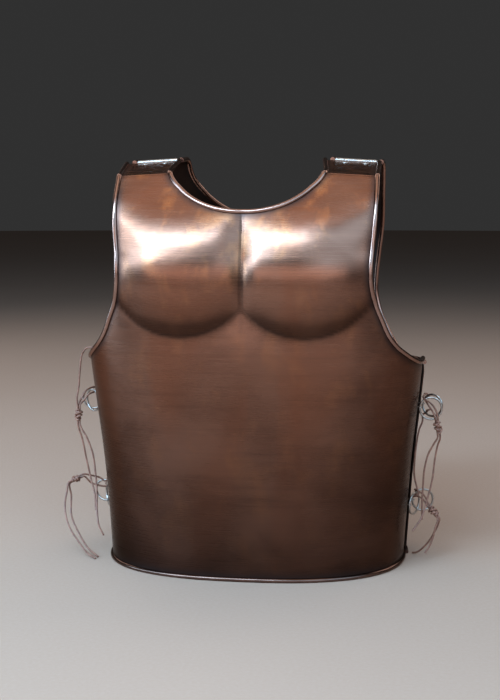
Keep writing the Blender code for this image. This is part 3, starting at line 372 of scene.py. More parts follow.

# The copper's colours, each laid over those before it as far as the product of its ranges says. A range reads
# a noise, a mark, the height, how "low" a place is, or how much painted shade it gets, and turns its low and
# high into two shares.
COPPER_LAYERS = (
    # colour, then ranges: read, low, high, share at low, share at high
    (LIGHT_BROWN, ("cloud", 0.33, 0.68, 0.0, 1.0)),
    (RED_BROWN, ("column", 0.46, 0.68, 0.0, 0.55)),
    (ORANGE, ("blotch", 0.53, 0.70, 0.0, 0.80), ("height", LOW_HEIGHT, ORANGE_HEIGHT, 0.30, 1.0)),
    # painted shade: darker on the flanks, low down and where the sheet faces down
    (PAINTED_SHADE_BROWN, ("painted_shade", 0.0, 1.0, 0.0, 1.0), ("cloud", 0.25, 0.75, 1.10, 0.86)),
    (BAND_BROWN, ("band", 0.50, 0.80, 0.0, 1.0), ("low", 0.0, 1.0, 0.15, 0.45)),
    (BRUSHED_BROWN, ("brush", 0.35, 0.70, 0.0, 0.11)),
    # painted shade in the hollows beside the domes
    (HOLLOW_SHADE_BROWN, ("hollow", 0.0, 1.0, 0.0, 0.50)),
    (GROOVE_BROWN, ("groove", 0.0, 1.0, 0.0, 1.0)),
    # rolled edges: rubbed bright wear and a painted highlight, with painted shade dimming them near the floor
    (RUBBED_AND_HIGHLIGHT, ("bead", 0.0, 1.0, 0.0, 1.0), ("blotch", 0.30, 0.62, 0.45, 0.9),
     ("height", 0.0, RIM_HEIGHT, 0.35, 1.0)),
    (INSIDE_BROWN, ("within", 0.0, 1.0, 0.0, 0.85)),
)

# The copper's roughness, as the sum of ranges: smoother on the beads, rougher in the grooves and inside
COPPER_ROUGHNESS = (
    # read, low, high, roughness at low, roughness at high
    ("brush", 0.25, 0.75, 0.20, 0.31),
    ("cloud", 0.30, 0.70, 0.05, -0.03),
    ("groove", 0.0, 1.0, 0.0, 0.15),
    ("bead", 0.0, 1.0, 0.0, -0.06),
    ("within", 0.0, 1.0, 0.0, 0.25),
)

# Shares of the hinge height, the chest half width and the two depths, and the power of each section's curve
SECTIONS = (
    # height, width, front, back, power
    (0.00, 0.893, 0.955, 0.940, 2.5),
    (0.13, 0.914, 0.962, 0.935, 2.5),
    (0.26, 0.937, 0.972, 0.940, 2.6),
    (0.40, 0.972, 0.985, 0.965, 2.8),
    (0.52, 0.997, 0.990, 0.995, 3.1),
    (0.64, 1.004, 0.975, 1.000, 3.3),
    (0.76, 1.005, 0.950, 0.955, 3.4),
    (0.86, 1.005, 0.840, 0.820, 3.4),
    (1.00, 1.010, 0.650, 0.560, 3.4),
)

# The armholes: share of the way from the armpit up to the strap's corner, then, for the front and for the
# back, the share of the way from the strap's outer edge out to the chest's half width
ARMHOLES = (
    # height, front, back
    (0.0000, 1.000, 1.000),
    (0.0065, 0.930, 0.547),
    (0.0300, 0.820, 0.380),
    (0.0650, 0.669, 0.260),
    (0.1120, 0.473, 0.137),
    (0.1700, 0.305, -0.002),
    (0.2580, 0.152, -0.152),
    (0.3300, 0.035, -0.218),
    (0.4230, -0.059, -0.216),
    (0.5490, -0.079, -0.155),
    (0.7070, -0.030, -0.063),
    (0.8650, 0.000, -0.022),
    (1.0000, 0.000, 0.000),
)

# What differs between the plates: places outwards from the plane of the side seams, heights, columns of the
# two tables above, the corner where the strap turns over the shoulder, its radius and the lean below it, and
# the shape of the strap's top
PLATE_SIZES = {
    # name: front, back
    "half_width": (CHEST_HALF_WIDTH, CHEST_HALF_WIDTH + 0.003),
    "depth": (FRONT_DEPTH, BACK_DEPTH),
    "depth_column": (2, 3),
    "armpit": (0.2335, 0.224),
    "arm_column": (1, 2),
    "neck": (0.401, 0.3895),
    "hinge_out": (0.026, -0.026),
    "corner_out": (0.098, 0.022),
    "corner_height": (0.446, 0.4645),
    "lean": (math.radians(36.0), math.radians(40.0)),
    "radius": (0.005, 0.026),
    "inner_flare": (0.0035, 0.0),
    "outer_flare": (0.003, 0.0),
    "skew": (0.0045, 0.0),
}


def unit(way):
    """A direction, made one long."""
    return way / np.linalg.norm(way)


def swung(angle, start, ahead):
    """The direction at an angle from start towards ahead."""
    return math.cos(angle) * start + math.sin(angle) * ahead


def ring_round(centre, radius, sides, start, ahead):
    """Points round a centre, the first of them on its side towards start."""
    return [centre + radius * swung(2 * math.pi * k / sides, start, ahead) for k in range(sides)]


def circle(radius, sides):
    """A flat circle's corners, clockwise."""
    angles = -2 * math.pi * np.arange(sides) / sides
    return radius * np.stack([np.cos(angles), np.sin(angles)], axis=-1)


def hermite(knots, values, slopes, at):
    """The smooth curve through values at knots, read at any place."""
    k = np.clip(np.searchsorted(knots, at) - 1, 0, len(knots) - 2)
    step = knots[k + 1] - knots[k]
    s = (at - knots[k]) / step
    if values.ndim > 1:
        step = step[:, None]
        s = s[:, None]
    rise = values[k + 1] - values[k]
    a = slopes[k] * step
    b = slopes[k + 1] * step
    return values[k] + s * (a + s * (3 * rise - 2 * a - b + s * (a + b - 2 * rise)))


def table_curve(rows, column, share):
    """A column of a table at any share of the first column, on a smooth curve through its rows."""
    knots = np.array([row[0] for row in rows])
    values = np.array([row[column] for row in rows])
    at = np.clip(share, knots[0], knots[-1])
    return hermite(knots, values, np.gradient(values, knots), at)


def distances(line):
    """How far along a line each of its points is."""
    steps = np.linalg.norm(np.diff(line, axis=0), axis=1)
    return np.concatenate([[0.0], np.cumsum(steps)])


def smooth_curve(points, count=CURVE_POINTS):
    """Many points along a smooth curve through a few."""
    points = np.array(points, float)
    knots = distances(points)
    at = np.linspace(0.0, knots[-1], count)
    return hermite(knots, points, np.gradient(points, knots, axis=0), at)


def spaced(line, spacing):
    """Evenly spaced points along a line of many points, about this far apart."""
    along = distances(line)
    count = max(1, round(along[-1] / spacing))
    at = np.linspace(0.0, along[-1], count + 1)
    return np.stack([np.interp(at, along, column) for column in line.T], axis=-1)


def ease(value):
    """0 below 0, 1 above 1, and smooth between them."""
    s = np.clip(value, 0.0, 1.0)
    return s * s * (3.0 - 2.0 * s)


class Plate:
    """The middle of one plate's sheet, over u, from -1 to 1 between its side edges, and t, up the plate."""

    def __init__(self, way):
        self.way = way
        self.domes = way < 0
        for name, (front_size, back_size) in PLATE_SIZES.items():
            setattr(self, name, front_size if self.domes else back_size)
        # the flat top runs from the corner to the hinge
        run = self.corner_out - self.hinge_out
        climb = HINGE_HEIGHT - self.corner_height
        reach = math.hypot(run, climb)
        self.top_tilt = math.atan2(climb, run) - math.asin(HINGE_DROP / reach)
        top_length = math.sqrt(reach ** 2 - HINGE_DROP ** 2) - HINGE_SETBACK
        turn = math.pi / 2 - self.lean - self.top_tilt
        cut = self.radius * math.tan(turn / 2)
        self.start_out = self.corner_out + (self.corner_height - STRAP_BLEND_HIGH) * math.tan(self.lean)
        strap = (self.corner_height - STRAP_BLEND_HIGH) / math.cos(self.lean)
        self.lengths = (strap - cut, self.radius * turn, top_length - cut)
        self.crease = STRAP_BLEND_HIGH + strap - cut + self.radius * turn / 2
        self.top = STRAP_BLEND_HIGH + sum(self.lengths)

    def creases(self):
        """The heights along the sheet where its bend over the shoulder starts and ends, and rows between."""
        straight, bend, _ = self.lengths
        start = STRAP_BLEND_HIGH + straight
        rows = max(1, round(bend / BEND_ROW))
        return [start + bend * k / rows for k in range(rows + 1)]

    def half_size(self, t):
        share = t / HINGE_HEIGHT
        wide = self.half_width * table_curve(SECTIONS, 1, share)
        deep = self.depth * table_curve(SECTIONS, self.depth_column, share)
        return wide, deep, table_curve(SECTIONS, 4, share)

    def side_angle(self, wide):
        return math.pi / 2 - np.arcsin(SEAM_GAP / 2 / wide)

    def u_at(self, x, t):
        """The u of a point whose place across the plate is x."""
        x = np.asarray(x, float)
        wide, deep, power = self.half_size(t)
        share = np.clip(np.abs(x) / wide, 0.0, 1.0)
        out = deep * (1.0 - share ** power) ** (1.0 / power)
        return np.arctan2(x, out) / self.side_angle(wide)

    def strap(self, t):
        """The straps' own profile: how far out and how high it is at t."""
        straight, bend, flat = self.lengths
        s = np.maximum(t - STRAP_BLEND_HIGH, 0.0)
        a = np.minimum(s, straight)
        b = np.clip(s - straight, 0.0, bend) / self.radius
        c = np.clip(s - straight - bend, 0.0, None)
        end = self.lean + b
        out = self.start_out - a * math.sin(self.lean)
        out = out - self.radius * (math.cos(self.lean) - np.cos(end))
        out = out - c * math.cos(self.top_tilt)
        height = STRAP_BLEND_HIGH + a * math.cos(self.lean)
        height = height + self.radius * (np.sin(end) - math.sin(self.lean))
        height = height + c * math.sin(self.top_tilt)
        below = np.maximum(STRAP_BLEND_HIGH - t, 0.0)
        return out + below * math.tan(self.lean), height - below

    def point(self, u, t):
        """Points in the middle of the sheet, as an array with a row for each."""
        u = np.asarray(u, float)
        t = np.asarray(t, float)
        wide, deep, power = self.half_size(t)
        angle = u * self.side_angle(wide)
        across = np.abs(np.sin(angle) / wide) ** power
        along = np.abs(np.cos(angle) / deep) ** power
        reach = (across + along) ** (-1.0 / power)
        x = reach * np.sin(angle)
        body_out = reach * np.cos(angle)
        if self.domes:
            body_out = body_out + pectorals(x, t)
        strap_out, height = self.strap(t)
        blend = ease((t - STRAP_BLEND_LOW) / (STRAP_BLEND_HIGH - STRAP_BLEND_LOW))
        out = body_out + blend * (strap_out - body_out)
        sloping = ease((t - STRAP_BLEND_LOW) / (self.crease - STRAP_BLEND_LOW))
        height = height - sloping * math.tan(HINGE_SLOPE) * (np.abs(x) - HINGE_APART / 2)
        return np.stack([x, SEAM_Y + self.way * out, height], axis=-1)

    def normal(self, u, t):
        """The sheet's outward directions at the same points."""
        du = 0.0005
        dt = 0.0001
        across = self.point(u + du, t) - self.point(u - du, t)
        up = self.point(u, t + dt) - self.point(u, t - dt)
        n = np.cross(across, up) * -self.way
        return n / np.linalg.norm(n, axis=-1, keepdims=True)


def pectorals(x, z):
    """How far the two pectoral domes, and the cleft between them, stand out."""
    side = np.abs(x)
    rise = z - PEC_CENTRE_HEIGHT
    tall = np.where(rise > 0.0, PEC_UPPER_RADIUS, PEC_RADIUS)
    far = ((side - PEC_APART / 2) / PEC_RADIUS) ** 2 + (rise / tall) ** 2
    within = 1.0 - far
    upper = ease(rise / PEC_UPPER_RADIUS)
    softness = PEC_SOFTNESS + upper * (PEC_UPPER_SOFTNESS - PEC_SOFTNESS)
    soft = 0.5 * (within + np.sqrt(within ** 2 + softness ** 2))
    dome = soft ** PEC_FULLNESS
    cleft = 1.0 - CLEFT_SHARE * np.exp(-(side / CLEFT_WIDTH) ** CLEFT_POWER)
    return PEC_HEIGHT * dome * cleft


def to_flat(plate, x, t, flare):
    """Places on the flattened sheet from front view places on an edge, with a flare along the strap's top."""
    along = np.clip((t - plate.crease) / (plate.top - plate.crease), 0.0, 1.0)
    u = np.clip(plate.u_at(x + along * flare, t), -1.0, 1.0)
    return np.stack([u * FLAT_HALF_WIDTH, t], axis=-1)


def neck_edge(plate, side):
    """One half of the neck edge, from the strap's top down to the middle, as if it were on the +X side."""
    rise = NECK_WIDEST_HEIGHT - plate.neck
    angle = np.linspace(0.0, math.pi / 2, EDGE_POINTS)
    upper = np.linspace(plate.top, NECK_WIDEST_HEIGHT, TOP_POINTS)[:-1]
    x = np.concatenate([np.full(len(upper), NECK_HALF_WIDTH), NECK_HALF_WIDTH * np.cos(angle)])
    t = np.concatenate([upper, NECK_WIDEST_HEIGHT - rise * np.sin(angle)])
    return to_flat(plate, x, t, -plate.inner_flare - side * plate.skew)


def arm_edge(plate, side):
    """An armhole's edge, from the armpit up to the strap's top, as if it were on the +X side."""
    spread = CHEST_HALF_WIDTH - STRAP_OUTER
    climb = plate.corner_height - plate.armpit
    rows = [(STRAP_OUTER + row[plate.arm_column] * spread, plate.armpit + row[0] * climb) for row in ARMHOLES]
    line = smooth_curve(rows)
    upper = np.linspace(plate.corner_height, plate.top, TOP_POINTS)[1:]
    x = np.concatenate([line[:, 0], np.full(len(upper), STRAP_OUTER)])
    t = np.concatenate([line[:, 1], upper])
    return to_flat(plate, x, t, plate.outer_flare - side * plate.skew)


def cut_at(line, levels):
    """A line's evenly spaced points, with one on each of the levels that it crosses."""
    rising = line[-1, 1] > line[0, 1]
    parts = []
    start = line[0]
    rest = line
    for level in sorted(levels, reverse=not rising):
        crossing = np.flatnonzero((rest[:-1, 1] - level) * (rest[1:, 1] - level) <= 0.0)
        if not len(crossing):
            continue
        k = crossing[-1]
        share = (level - rest[k, 1]) / (rest[k + 1, 1] - rest[k, 1])
        there = rest[k] + share * (rest[k + 1] - rest[k])
        there[1] = level
        parts.append(spaced(np.vstack([start, rest[1:k + 1], there]), EDGE_STEP)[:-1])
        start = there
        rest = np.vstack([there, rest[k + 1:]])
    parts.append(spaced(rest, EDGE_STEP))
    return np.vstack(parts)


def outline(plate):
    """The plate's flattened outline, anticlockwise, and what kind of edge starts at each point."""
    across = np.linspace(-FLAT_HALF_WIDTH, FLAT_HALF_WIDTH, EDGE_POINTS)
    rim = np.stack([across, np.full(EDGE_POINTS, RIM_LIFT)], axis=-1)
    side = np.array([[FLAT_HALF_WIDTH, RIM_LIFT], [FLAT_HALF_WIDTH, plate.armpit]])
    levels = plate.creases()
    arms = {s: cut_at(arm_edge(plate, s), levels) * (s, 1.0) for s in (1, -1)}
    necks = {s: cut_at(neck_edge(plate, s), levels) * (s, 1.0) for s in (1, -1)}
    tops = {s: spaced(np.array([arms[s][-1], necks[s][0]]), EDGE_STEP) for s in (1, -1)}
    runs = [
        (spaced(rim, RIM_STEP), "rim"),
        (spaced(side, SIDE_STEP), "plain"),
        (arms[1], "bead"),
        (tops[1], "plain"),
        (np.vstack([necks[1], necks[-1][-2::-1]]), "bead"),
        (tops[-1][::-1], "plain"),
        (arms[-1][::-1], "bead"),
        (spaced((side * (-1.0, 1.0))[::-1], SIDE_STEP), "plain"),
    ]
    points = np.vstack([run[:-1] for run, _ in runs])
    kinds = [kind for run, kind in runs for _ in run[:-1]]
    return points, kinds


def inside(points, loops):
    """Whether each flat point lies inside the loops, by the even-odd rule."""
    odd = np.zeros(len(points), bool)
    x, y = points.T
    for loop in loops:
        for (ax, ay), (bx, by) in zip(loop, np.roll(loop, -1, axis=0)):
            if ay != by:
                across = ax + (y - ay) / (by - ay) * (bx - ax)
                odd ^= ((ay > y) != (by > y)) & (x < across)
    return odd


def gap_to(points, loops):
    """How far each flat point is from the nearest of the loops."""
    nearest = np.full(len(points), np.inf)
    for loop in loops:
        for a, b in zip(loop, np.roll(loop, -1, axis=0)):
            way = b - a
            share = np.clip(((points - a) @ way) / max(way @ way, 1e-12), 0.0, 1.0)
            nearest = np.minimum(nearest, np.linalg.norm(points - a - share[:, None] * way, axis=1))
    return nearest


def hole(plate, u, t, radius):
    """A round hole's edge on the flattened sheet, clockwise."""
    wide = np.linalg.norm(plate.point(u + PROBE, t) - plate.point(u - PROBE, t)) / (2 * PROBE)
    stretch = FLAT_HALF_WIDTH / wide
    return (u * FLAT_HALF_WIDTH, t) + circle(radius, HOLE_SIDES) * (stretch, 1.0)


def triangles_in(loops, loose=()):
    """The loops' points and loose ones in an array, the triangles inside the loops, and the loops' edges."""
    edges = []
    for loop in loops:
        first = len(edges)
        edges += [(first + k, first + (k + 1) % len(loop)) for k in range(len(loop))]
    points = np.vstack([*loops, *loose])
    _, _, faces, origins, _, _ = delaunay_2d_cdt([Vector(p) for p in points], edges, [], 0, 1e-9)
    number = [min(origin) for origin in origins]
    faces = np.array([[number[k] for k in face] for face in faces])
    return points, faces[inside(points[faces].mean(axis=1), loops)], edges


def slab_faces(loops, triangles, edges, below, flip):
    """The faces of a slab's two sides and of its holes, which are the loops after the first."""
    faces = [tuple(face) for face in triangles]
    faces += [tuple(face[::flip] + below) for face in triangles]
    return faces + [(a, a + below, b + below, b) for a, b in edges[len(loops[0]):]]


def row_heights(plate):
    """Rows of points over the plate, each with its spacing: wide apart on the belly, close on the chest."""
    bend = plate.creases()
    belly = np.arange(RIM_LIFT, CHEST_START, ROW_SHARE * BELLY_SPACING)[1:]
    chest = np.arange(CHEST_START, bend[0], ROW_SHARE * CHEST_SPACING)
    top = np.arange(bend[-1], plate.top, ROW_SHARE * CHEST_SPACING)[1:]
    return [(t, BELLY_SPACING) for t in belly] + [(t, CHEST_SPACING) for t in (*chest, *bend, *top)]


def beside_crease(loose, rim):
    """The points, with straight columns in place of those near the crease, so that it looks smooth."""
    neck = rim[(np.abs(rim[:, 0]) < CREASE_TOP_REACH) & (rim[:, 1] > CHEST_START), 1]
    reach = CREASE_COLUMNS * CREASE_SPACING + CREASE_CLEAR
    kept = [spot for spot in loose if abs(spot[0]) > reach or spot[1] < CHEST_START]
    for level in np.arange(CHEST_START, neck.min() - CREASE_SPACING, CREASE_SPACING):
        kept += [(k * CREASE_SPACING, level) for k in range(-CREASE_COLUMNS, CREASE_COLUMNS + 1)]
    return kept


def fill(plate, loops):
    """The flattened sheet's points, the loops' first, the triangles over it, and the loops' edges."""
    rim = loops[0]
    ahead = np.roll(rim, -1, axis=0)
    loose = []
    for number, (level, spacing) in enumerate(row_heights(plate)):
        crossing = (rim[:, 1] > level) != (ahead[:, 1] > level)
        share = (level - rim[crossing, 1]) / (ahead[crossing, 1] - rim[crossing, 1])
        ends = np.sort(rim[crossing, 0] + share * (ahead[crossing, 0] - rim[crossing, 0]))
        odd = number % 2
        for a, b in zip(ends[::2], ends[1::2]):
            count = max(2, round((b - a) / spacing))
            loose += [(a + (b - a) * (k + odd / 2) / count, level) for k in range(1 - odd, count)]
    if plate.domes:
        loose = beside_crease(loose, rim)
    loose = np.array(loose)
    return triangles_in(loops, loose[gap_to(loose, loops) > EDGE_CLEAR])


def hollows(plate, flat):
    """How hollow the sheet is beside its domes, from 0 to 1, for the painted shade there."""
    if not plate.domes:
        return np.zeros(len(flat))
    x = plate.point(flat[:, 0] / FLAT_HALF_WIDTH, flat[:, 1])[:, 0]
    t = flat[:, 1]
    aside = pectorals(x + HOLLOW_PROBE, t) + pectorals(x - HOLLOW_PROBE, t)
    around = aside + pectorals(x, t + HOLLOW_PROBE) + pectorals(x, t - HOLLOW_PROBE)
    return np.clip((around - 4 * pectorals(x, t)) / HOLLOW_PROBE ** 2 / HOLLOW_BEND, 0.0, 1.0)


def near_beads(middle, kinds):
    """How near each point of the sheet is to a rolled edge, from 0 to 1."""
    loop = [k for k, kind in enumerate(kinds) if kind != "plain"]
    tree = kdtree.KDTree(GROOVE_PARTS * len(loop))
    for number, k in enumerate(loop):
        step = middle[(k + 1) % len(kinds)] - middle[k]
        for part in range(GROOVE_PARTS):
            tree.insert(Vector(middle[k] + step * part / GROOVE_PARTS), GROOVE_PARTS * number + part)
    tree.balance()
    gaps = np.array([tree.find(Vector(spot))[2] for spot in middle])
    return np.exp(-(gaps / GROOVE_REACH) ** 2)


def flank_and_under_shade(flat, out):
    """How much painted shade the sheet gets, from 0 to 1: on the flanks, most low down, and where it faces
    down.
    """
    aside = np.abs(flat[:, 0] / FLAT_HALF_WIDTH)
    flank = FLANK_DARK * ease((aside - FLANK_START) / (1.0 - FLANK_START))
    flank *= 1.0 - FLANK_FADE * ease((flat[:, 1] - FLANK_FADE_START) / (CHEST_START - FLANK_FADE_START))
    under = UNDER_DARK * ease((UNDER_START - out[:, 2]) / (UNDER_START - UNDER_END))
    return np.maximum(flank, under)


def plate_marks(plate, flat, middle, out, kinds, total):
    """Numbers at each corner for the copper's finish: on the sheet's two faces, then on the beads."""
    below = len(flat)
    marks = {name: np.zeros(total) for name in MARKS}
    marks["groove"][:2 * below] = np.tile(near_beads(middle, kinds), 2)
    marks["hollow"][:below] = hollows(plate, flat)
    marks["bead"][2 * below:] = 1.0
    marks["within"][below:2 * below] = 1.0
    marks["shade"][:2 * below] = np.tile(flank_and_under_shade(flat, out), 2)
    return marks


def plate_loops(plate):
    """The flattened sheet's outline and holes, and the kinds of the outline's edges."""
    rim, kinds = outline(plate)
    loops = [rim]
    for side in (-1, 1):
        for height in EYE_HEIGHTS.values():
            loops.append(hole(plate, *eye_place(plate, side, height), EYE_HOLE_RADIUS))
        for u, t in rivet_places(plate, side):
            loops.append(hole(plate, u, t, RIVET_RADIUS + CLEARANCE))
    return loops, kinds


def bead_ring(middle, edge, out):
    """The corners of the rolled edge's section at one place of the sheet's edge, none below the floor."""
    centre = middle + edge * BEAD_OFFSET + out * BEAD_LIFT
    ring = [centre + BEAD_RADIUS * swung(angle, edge, out) for angle in BEAD_ANGLES]
    return [(x, y, max(z, 0.0)) for x, y, z in ring]


def bead_rings(plate, middle, out, kinds):
    """The rolled edge's section at each point of the outline that it passes, by the point's number."""
    rings = {}
    for k, after in enumerate(kinds):
        before = kinds[k - 1]
        if before == after == "plain":
            continue
        ahead = middle[(k + 1) % len(kinds)] if after != "plain" else middle[k]
        behind = middle[k - 1] if before != "plain" else middle[k]
        along = unit(ahead - behind)
        if "rim" in (before, after):
            edge = np.array([0.0, 0.0, -1.0])
            face = out[k] * (1.0, 1.0, 0.0)
        else:
            edge = unit(np.cross(along, out[k]) * -plate.way)
            face = np.cross(edge, along) * -plate.way
        rings[k] = bead_ring(middle[k], edge, unit(face))
    return rings


def edge_faces(kinds, sections, below):
    """The faces round the outline: plain walls, the rolled edge and its ends."""
    faces = [ring for k, ring in sections.items() if "plain" in (kinds[k - 1], kinds[k])]
    for k, kind in enumerate(kinds):
        after = (k + 1) % len(kinds)
        if kind == "plain":
            faces.append((k, k + below, after + below, after))
            continue
        here, there = sections[k], sections[after]
        faces += zip(here, here[1:], there[1:], there)
    return faces


def make_plate(node, plate):
    """A plate as one closed solid: its sheet, walls at plain edges and holes, and its rolled edges."""
    loops, kinds = plate_loops(plate)
    flat, triangles, edges = fill(plate, loops)
    u = flat[:, 0] / FLAT_HALF_WIDTH
    middle = plate.point(u, flat[:, 1])
    out = plate.normal(u, flat[:, 1])
    below = len(middle)
    corners = list(middle + out * SHEET / 2) + list(middle - out * SHEET / 2)
    sections = {}
    for k, ring in bead_rings(plate, middle, out, kinds).items():
        sections[k] = (k, *range(len(corners), len(corners) + len(ring)), k + below)
        corners += ring
    faces = slab_faces(loops, triangles, edges, below, -1) + edge_faces(kinds, sections, below)
    made = add_piece(node, corners, faces, "copper")
    for mark, values in plate_marks(plate, flat, middle, out, kinds, len(corners)).items():
        made.data.attributes.new(mark, "FLOAT", "POINT").data.foreach_set("value", values)


def new_object(name, data):
    """A new object in the scene."""
    made = bpy.data.objects.new(name, data)
    bpy.context.scene.collection.objects.link(made)
    return made


def place_piece(node, data, slot):
    """A new piece with its slot's material, which stands for the CAD node of its name."""
    made = new_object(f"{node}_fine", data)
    data.materials.append(MATERIALS[slot])
    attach(made, "root")
    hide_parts(node)
    return made


def add_piece(node, corners, faces, slot):
    """A new piece of one closed mesh, its faces turned outwards."""
    mesh = bpy.data.meshes.new(node)
    shape = bmesh.new()
    points = [shape.verts.new(corner) for corner in corners]
    for face in faces:
        shape.faces.new([points[k] for k in face])
    bmesh.ops.recalc_face_normals(shape, faces=shape.faces)
    shape.to_mesh(mesh)
    shape.free()
    mesh.shade_smooth()
    mesh.set_sharp_from_angle(angle=SHARP_ANGLE)
    return place_piece(node, mesh, slot)


def eye_place(plate, side, height):
    """The u and t of a ring's eye."""
    wide = np.linalg.norm(plate.point(1.0, height) - plate.point(1.0 - PROBE, height)) / PROBE
    return side * (1.0 - EYE_INSET / wide), height


def rivet_places(plate, side):
    """The u and t of the rivets through one strap's top."""
    t = plate.top - RIVET_INSET
    xs = [HINGE_APART / 2 - HINGE_LENGTH / 4, HINGE_APART / 2 + HINGE_LENGTH / 4]
    return [(float(plate.u_at(side * x, t)), t) for x in xs]


def round_faces(rows, sides, closed):
    """The faces of a round solid whose corners are rows of so many sides, with ends unless it is closed."""
    total = rows * sides
    faces = [] if closed else [tuple(range(sides)), tuple(range(total - sides, total))]
    for row in range(rows if closed else rows - 1):
        for k in range(sides):
            a, b = row * sides + k, row * sides + (k + 1) % sides
            faces.append((a, b, (b + sides) % total, (a + sides) % total))
    return faces


def turned(profile, base, axis, sides):
    """A round solid, from radius and height pairs along an axis."""
    aside = unit(np.cross(axis, np.array([0.0, 1.0, 0.0])))
    ahead = np.cross(axis, aside)
    corners = []
    for radius, height in profile:
        corners += ring_round(base + height * axis, radius, sides, aside, ahead)
    return corners, round_faces(len(profile), sides, False)


def wire(points, across, radius, sides, closed=False):
    """A round wire along points that lie in the plane square to across."""
    points = np.array(points)
    steps = np.roll(points, -1, axis=0) - points
    if not closed:
        steps[-1] = steps[-2]
    steps /= np.linalg.norm(steps, axis=1, keepdims=True)
    before = np.roll(steps, 1, axis=0)
    if not closed:
        before[0] = steps[0]
    corners = []
    for point, a, b in zip(points, before, steps):
        along = unit(a + b)
        corners += ring_round(point, radius, sides, np.cross(along, across) / (along @ b), across)
    return corners, round_faces(len(points), sides, closed)


def tab_frame(plate, side):
    """The middle of a hinge's axis, and the ways outwards along it, along the strap's top, and up."""
    middle = np.array([side * HINGE_APART / 2, SEAM_Y + plate.way * plate.hinge_out, HINGE_HEIGHT])
    along = np.array([side * math.cos(HINGE_SLOPE), 0.0, -math.sin(HINGE_SLOPE)])
    away = np.array([0.0, plate.way * math.cos(plate.top_tilt), -math.sin(plate.top_tilt)])
    away = unit(away - (away @ along) * along)
    up = np.cross(along, away)
    return middle, along, away, up * np.sign(up[2])


def knuckle_spans(ends):
    """Where along the axis a leaf has its knuckles: at both ends, or in the middle between the other's."""
    half = HINGE_LENGTH / 2
    inner = half - END_KNUCKLE
    if ends:
        return [(-half, -inner - CLEARANCE / 2), (inner + CLEARANCE / 2, half)]
    return [(-inner + CLEARANCE / 2, inner - CLEARANCE / 2)]


def leaf_loops(plate, side, spans):
    """A leaf's flat outline and its rivets' holes, as ways along the hinge's axis and away from it."""
    middle, along, away, _ = tab_frame(plate, side)
    half = HINGE_LENGTH / 2
    stops = sorted({-half, half, *[stop for span in spans for stop in span]})
    loops = [np.array([(stop, LEAF_NECK) for stop in stops] + [(half, LEAF_REACH), (-half, LEAF_REACH)])]
    for u, t in rivet_places(plate, side):
        spot = plate.point(u, t) - middle
        loops.append((spot @ along, spot @ away) + circle(RIVET_RADIUS + CLEARANCE, LEAF_HOLE_SIDES))
    return loops


def add_knuckle(corners, faces, edge, span, axis_frame):
    """Rolls a knuckle round a hinge's axis, from the four corners of the leaf's edge that it starts from."""
    middle, along, away, up = axis_frame
    rows = [edge]
    for turn in range(KNUCKLE_STEPS + 1):
        spoke = swung(math.pi / 2 + KNUCKLE_TURN * turn / KNUCKLE_STEPS, away, -up)
        rows.append(tuple(range(len(corners), len(corners) + 4)))
        for s in span:
            corners += [middle + s * along + radius * spoke for radius in (BARREL_RADIUS, KNUCKLE_RADIUS)]
    for low, high in zip(rows, rows[1:]):
        for one, other in ((0, 2), (1, 3), (0, 1), (2, 3)):
            faces.append((low[one], low[other], high[other], high[one]))
    faces.append(tuple(rows[-1][k] for k in (0, 1, 3, 2)))


def leaf_mesh(plate, side, ends):
    """One leaf of a hinge: a flat plate under the strap's top, with its knuckles rolled round the pin."""
    middle, along, away, up = tab_frame(plate, side)
    spans = knuckle_spans(ends)
    loops = leaf_loops(plate, side, spans)
    flat, triangles, edges = triangles_in(loops)
    corners = []
    for depth in (BARREL_RADIUS, KNUCKLE_RADIUS):
        corners += [middle + s * along + d * away - depth * up for s, d in flat]
    below = len(flat)
    faces = slab_faces(loops, triangles, edges, below, 1)
    for k, (start, neck) in enumerate(loops[0]):
        after = (k + 1) % len(loops[0])
        span = (start, loops[0][after][0])
        if neck != LEAF_NECK or span not in spans:
            faces.append((k, k + below, after + below, after))
        else:
            edge = (k, k + below, after, after + below)
            add_knuckle(corners, faces, edge, span, (middle, along, away, up))
    return corners, faces


def rivet_mesh(plate, side, u, t):
    """A rivet through a strap's top and the leaf under it: a low domed head, and a clenched end inside."""
    up = tab_frame(plate, side)[3]
    top = SHEET / 2 + CLEARANCE
    low = -SHEET / 2 - 2 * CLEARANCE - LEAF
    profile = []
    for angle in np.linspace(RIVET_HEAD_FLAT, 0.0, RIVET_HEAD_STEPS):
        profile.append((RIVET_HEAD_RADIUS * math.cos(angle), top + RIVET_HEAD * math.sin(angle)))
    profile += [(RIVET_RADIUS, top), (RIVET_RADIUS, low)]
    profile += [(wide * RIVET_RADIUS, low - deep * RIVET_HEAD) for wide, deep in RIVET_CLENCH]
    return turned(profile, plate.point(u, t), up, RIVET_SIDES)


def pin_mesh(side):
    """A hinge's pin, with a small rounded head at each end."""
    middle, along, _, _ = tab_frame(front, side)
    end = HINGE_LENGTH / 2 + CLEARANCE
    head = [(PIN_RADIUS, end)]
    head += [(wide * PIN_HEAD_RADIUS, end + high * PIN_HEAD) for wide, high in PIN_HEAD_PROFILE]
    profile = [(radius, -height) for radius, height in head[::-1]] + head
    return turned(profile, middle, along, PIN_SIDES)


def eye_frame(plate, side, level):
    """The middle of an eye's loop, the way out of the sheet, the way backwards along it, and the way up."""
    u, t = eye_place(plate, side, EYE_HEIGHTS[level])
    out = plate.normal(u, t)
    back_way = unit(np.array([-out[1], out[0], 0.0]) * side)
    up = np.cross(out, back_way) * side
    return plate.point(u, t) + EYE_STANDOFF * out, out, back_way, up


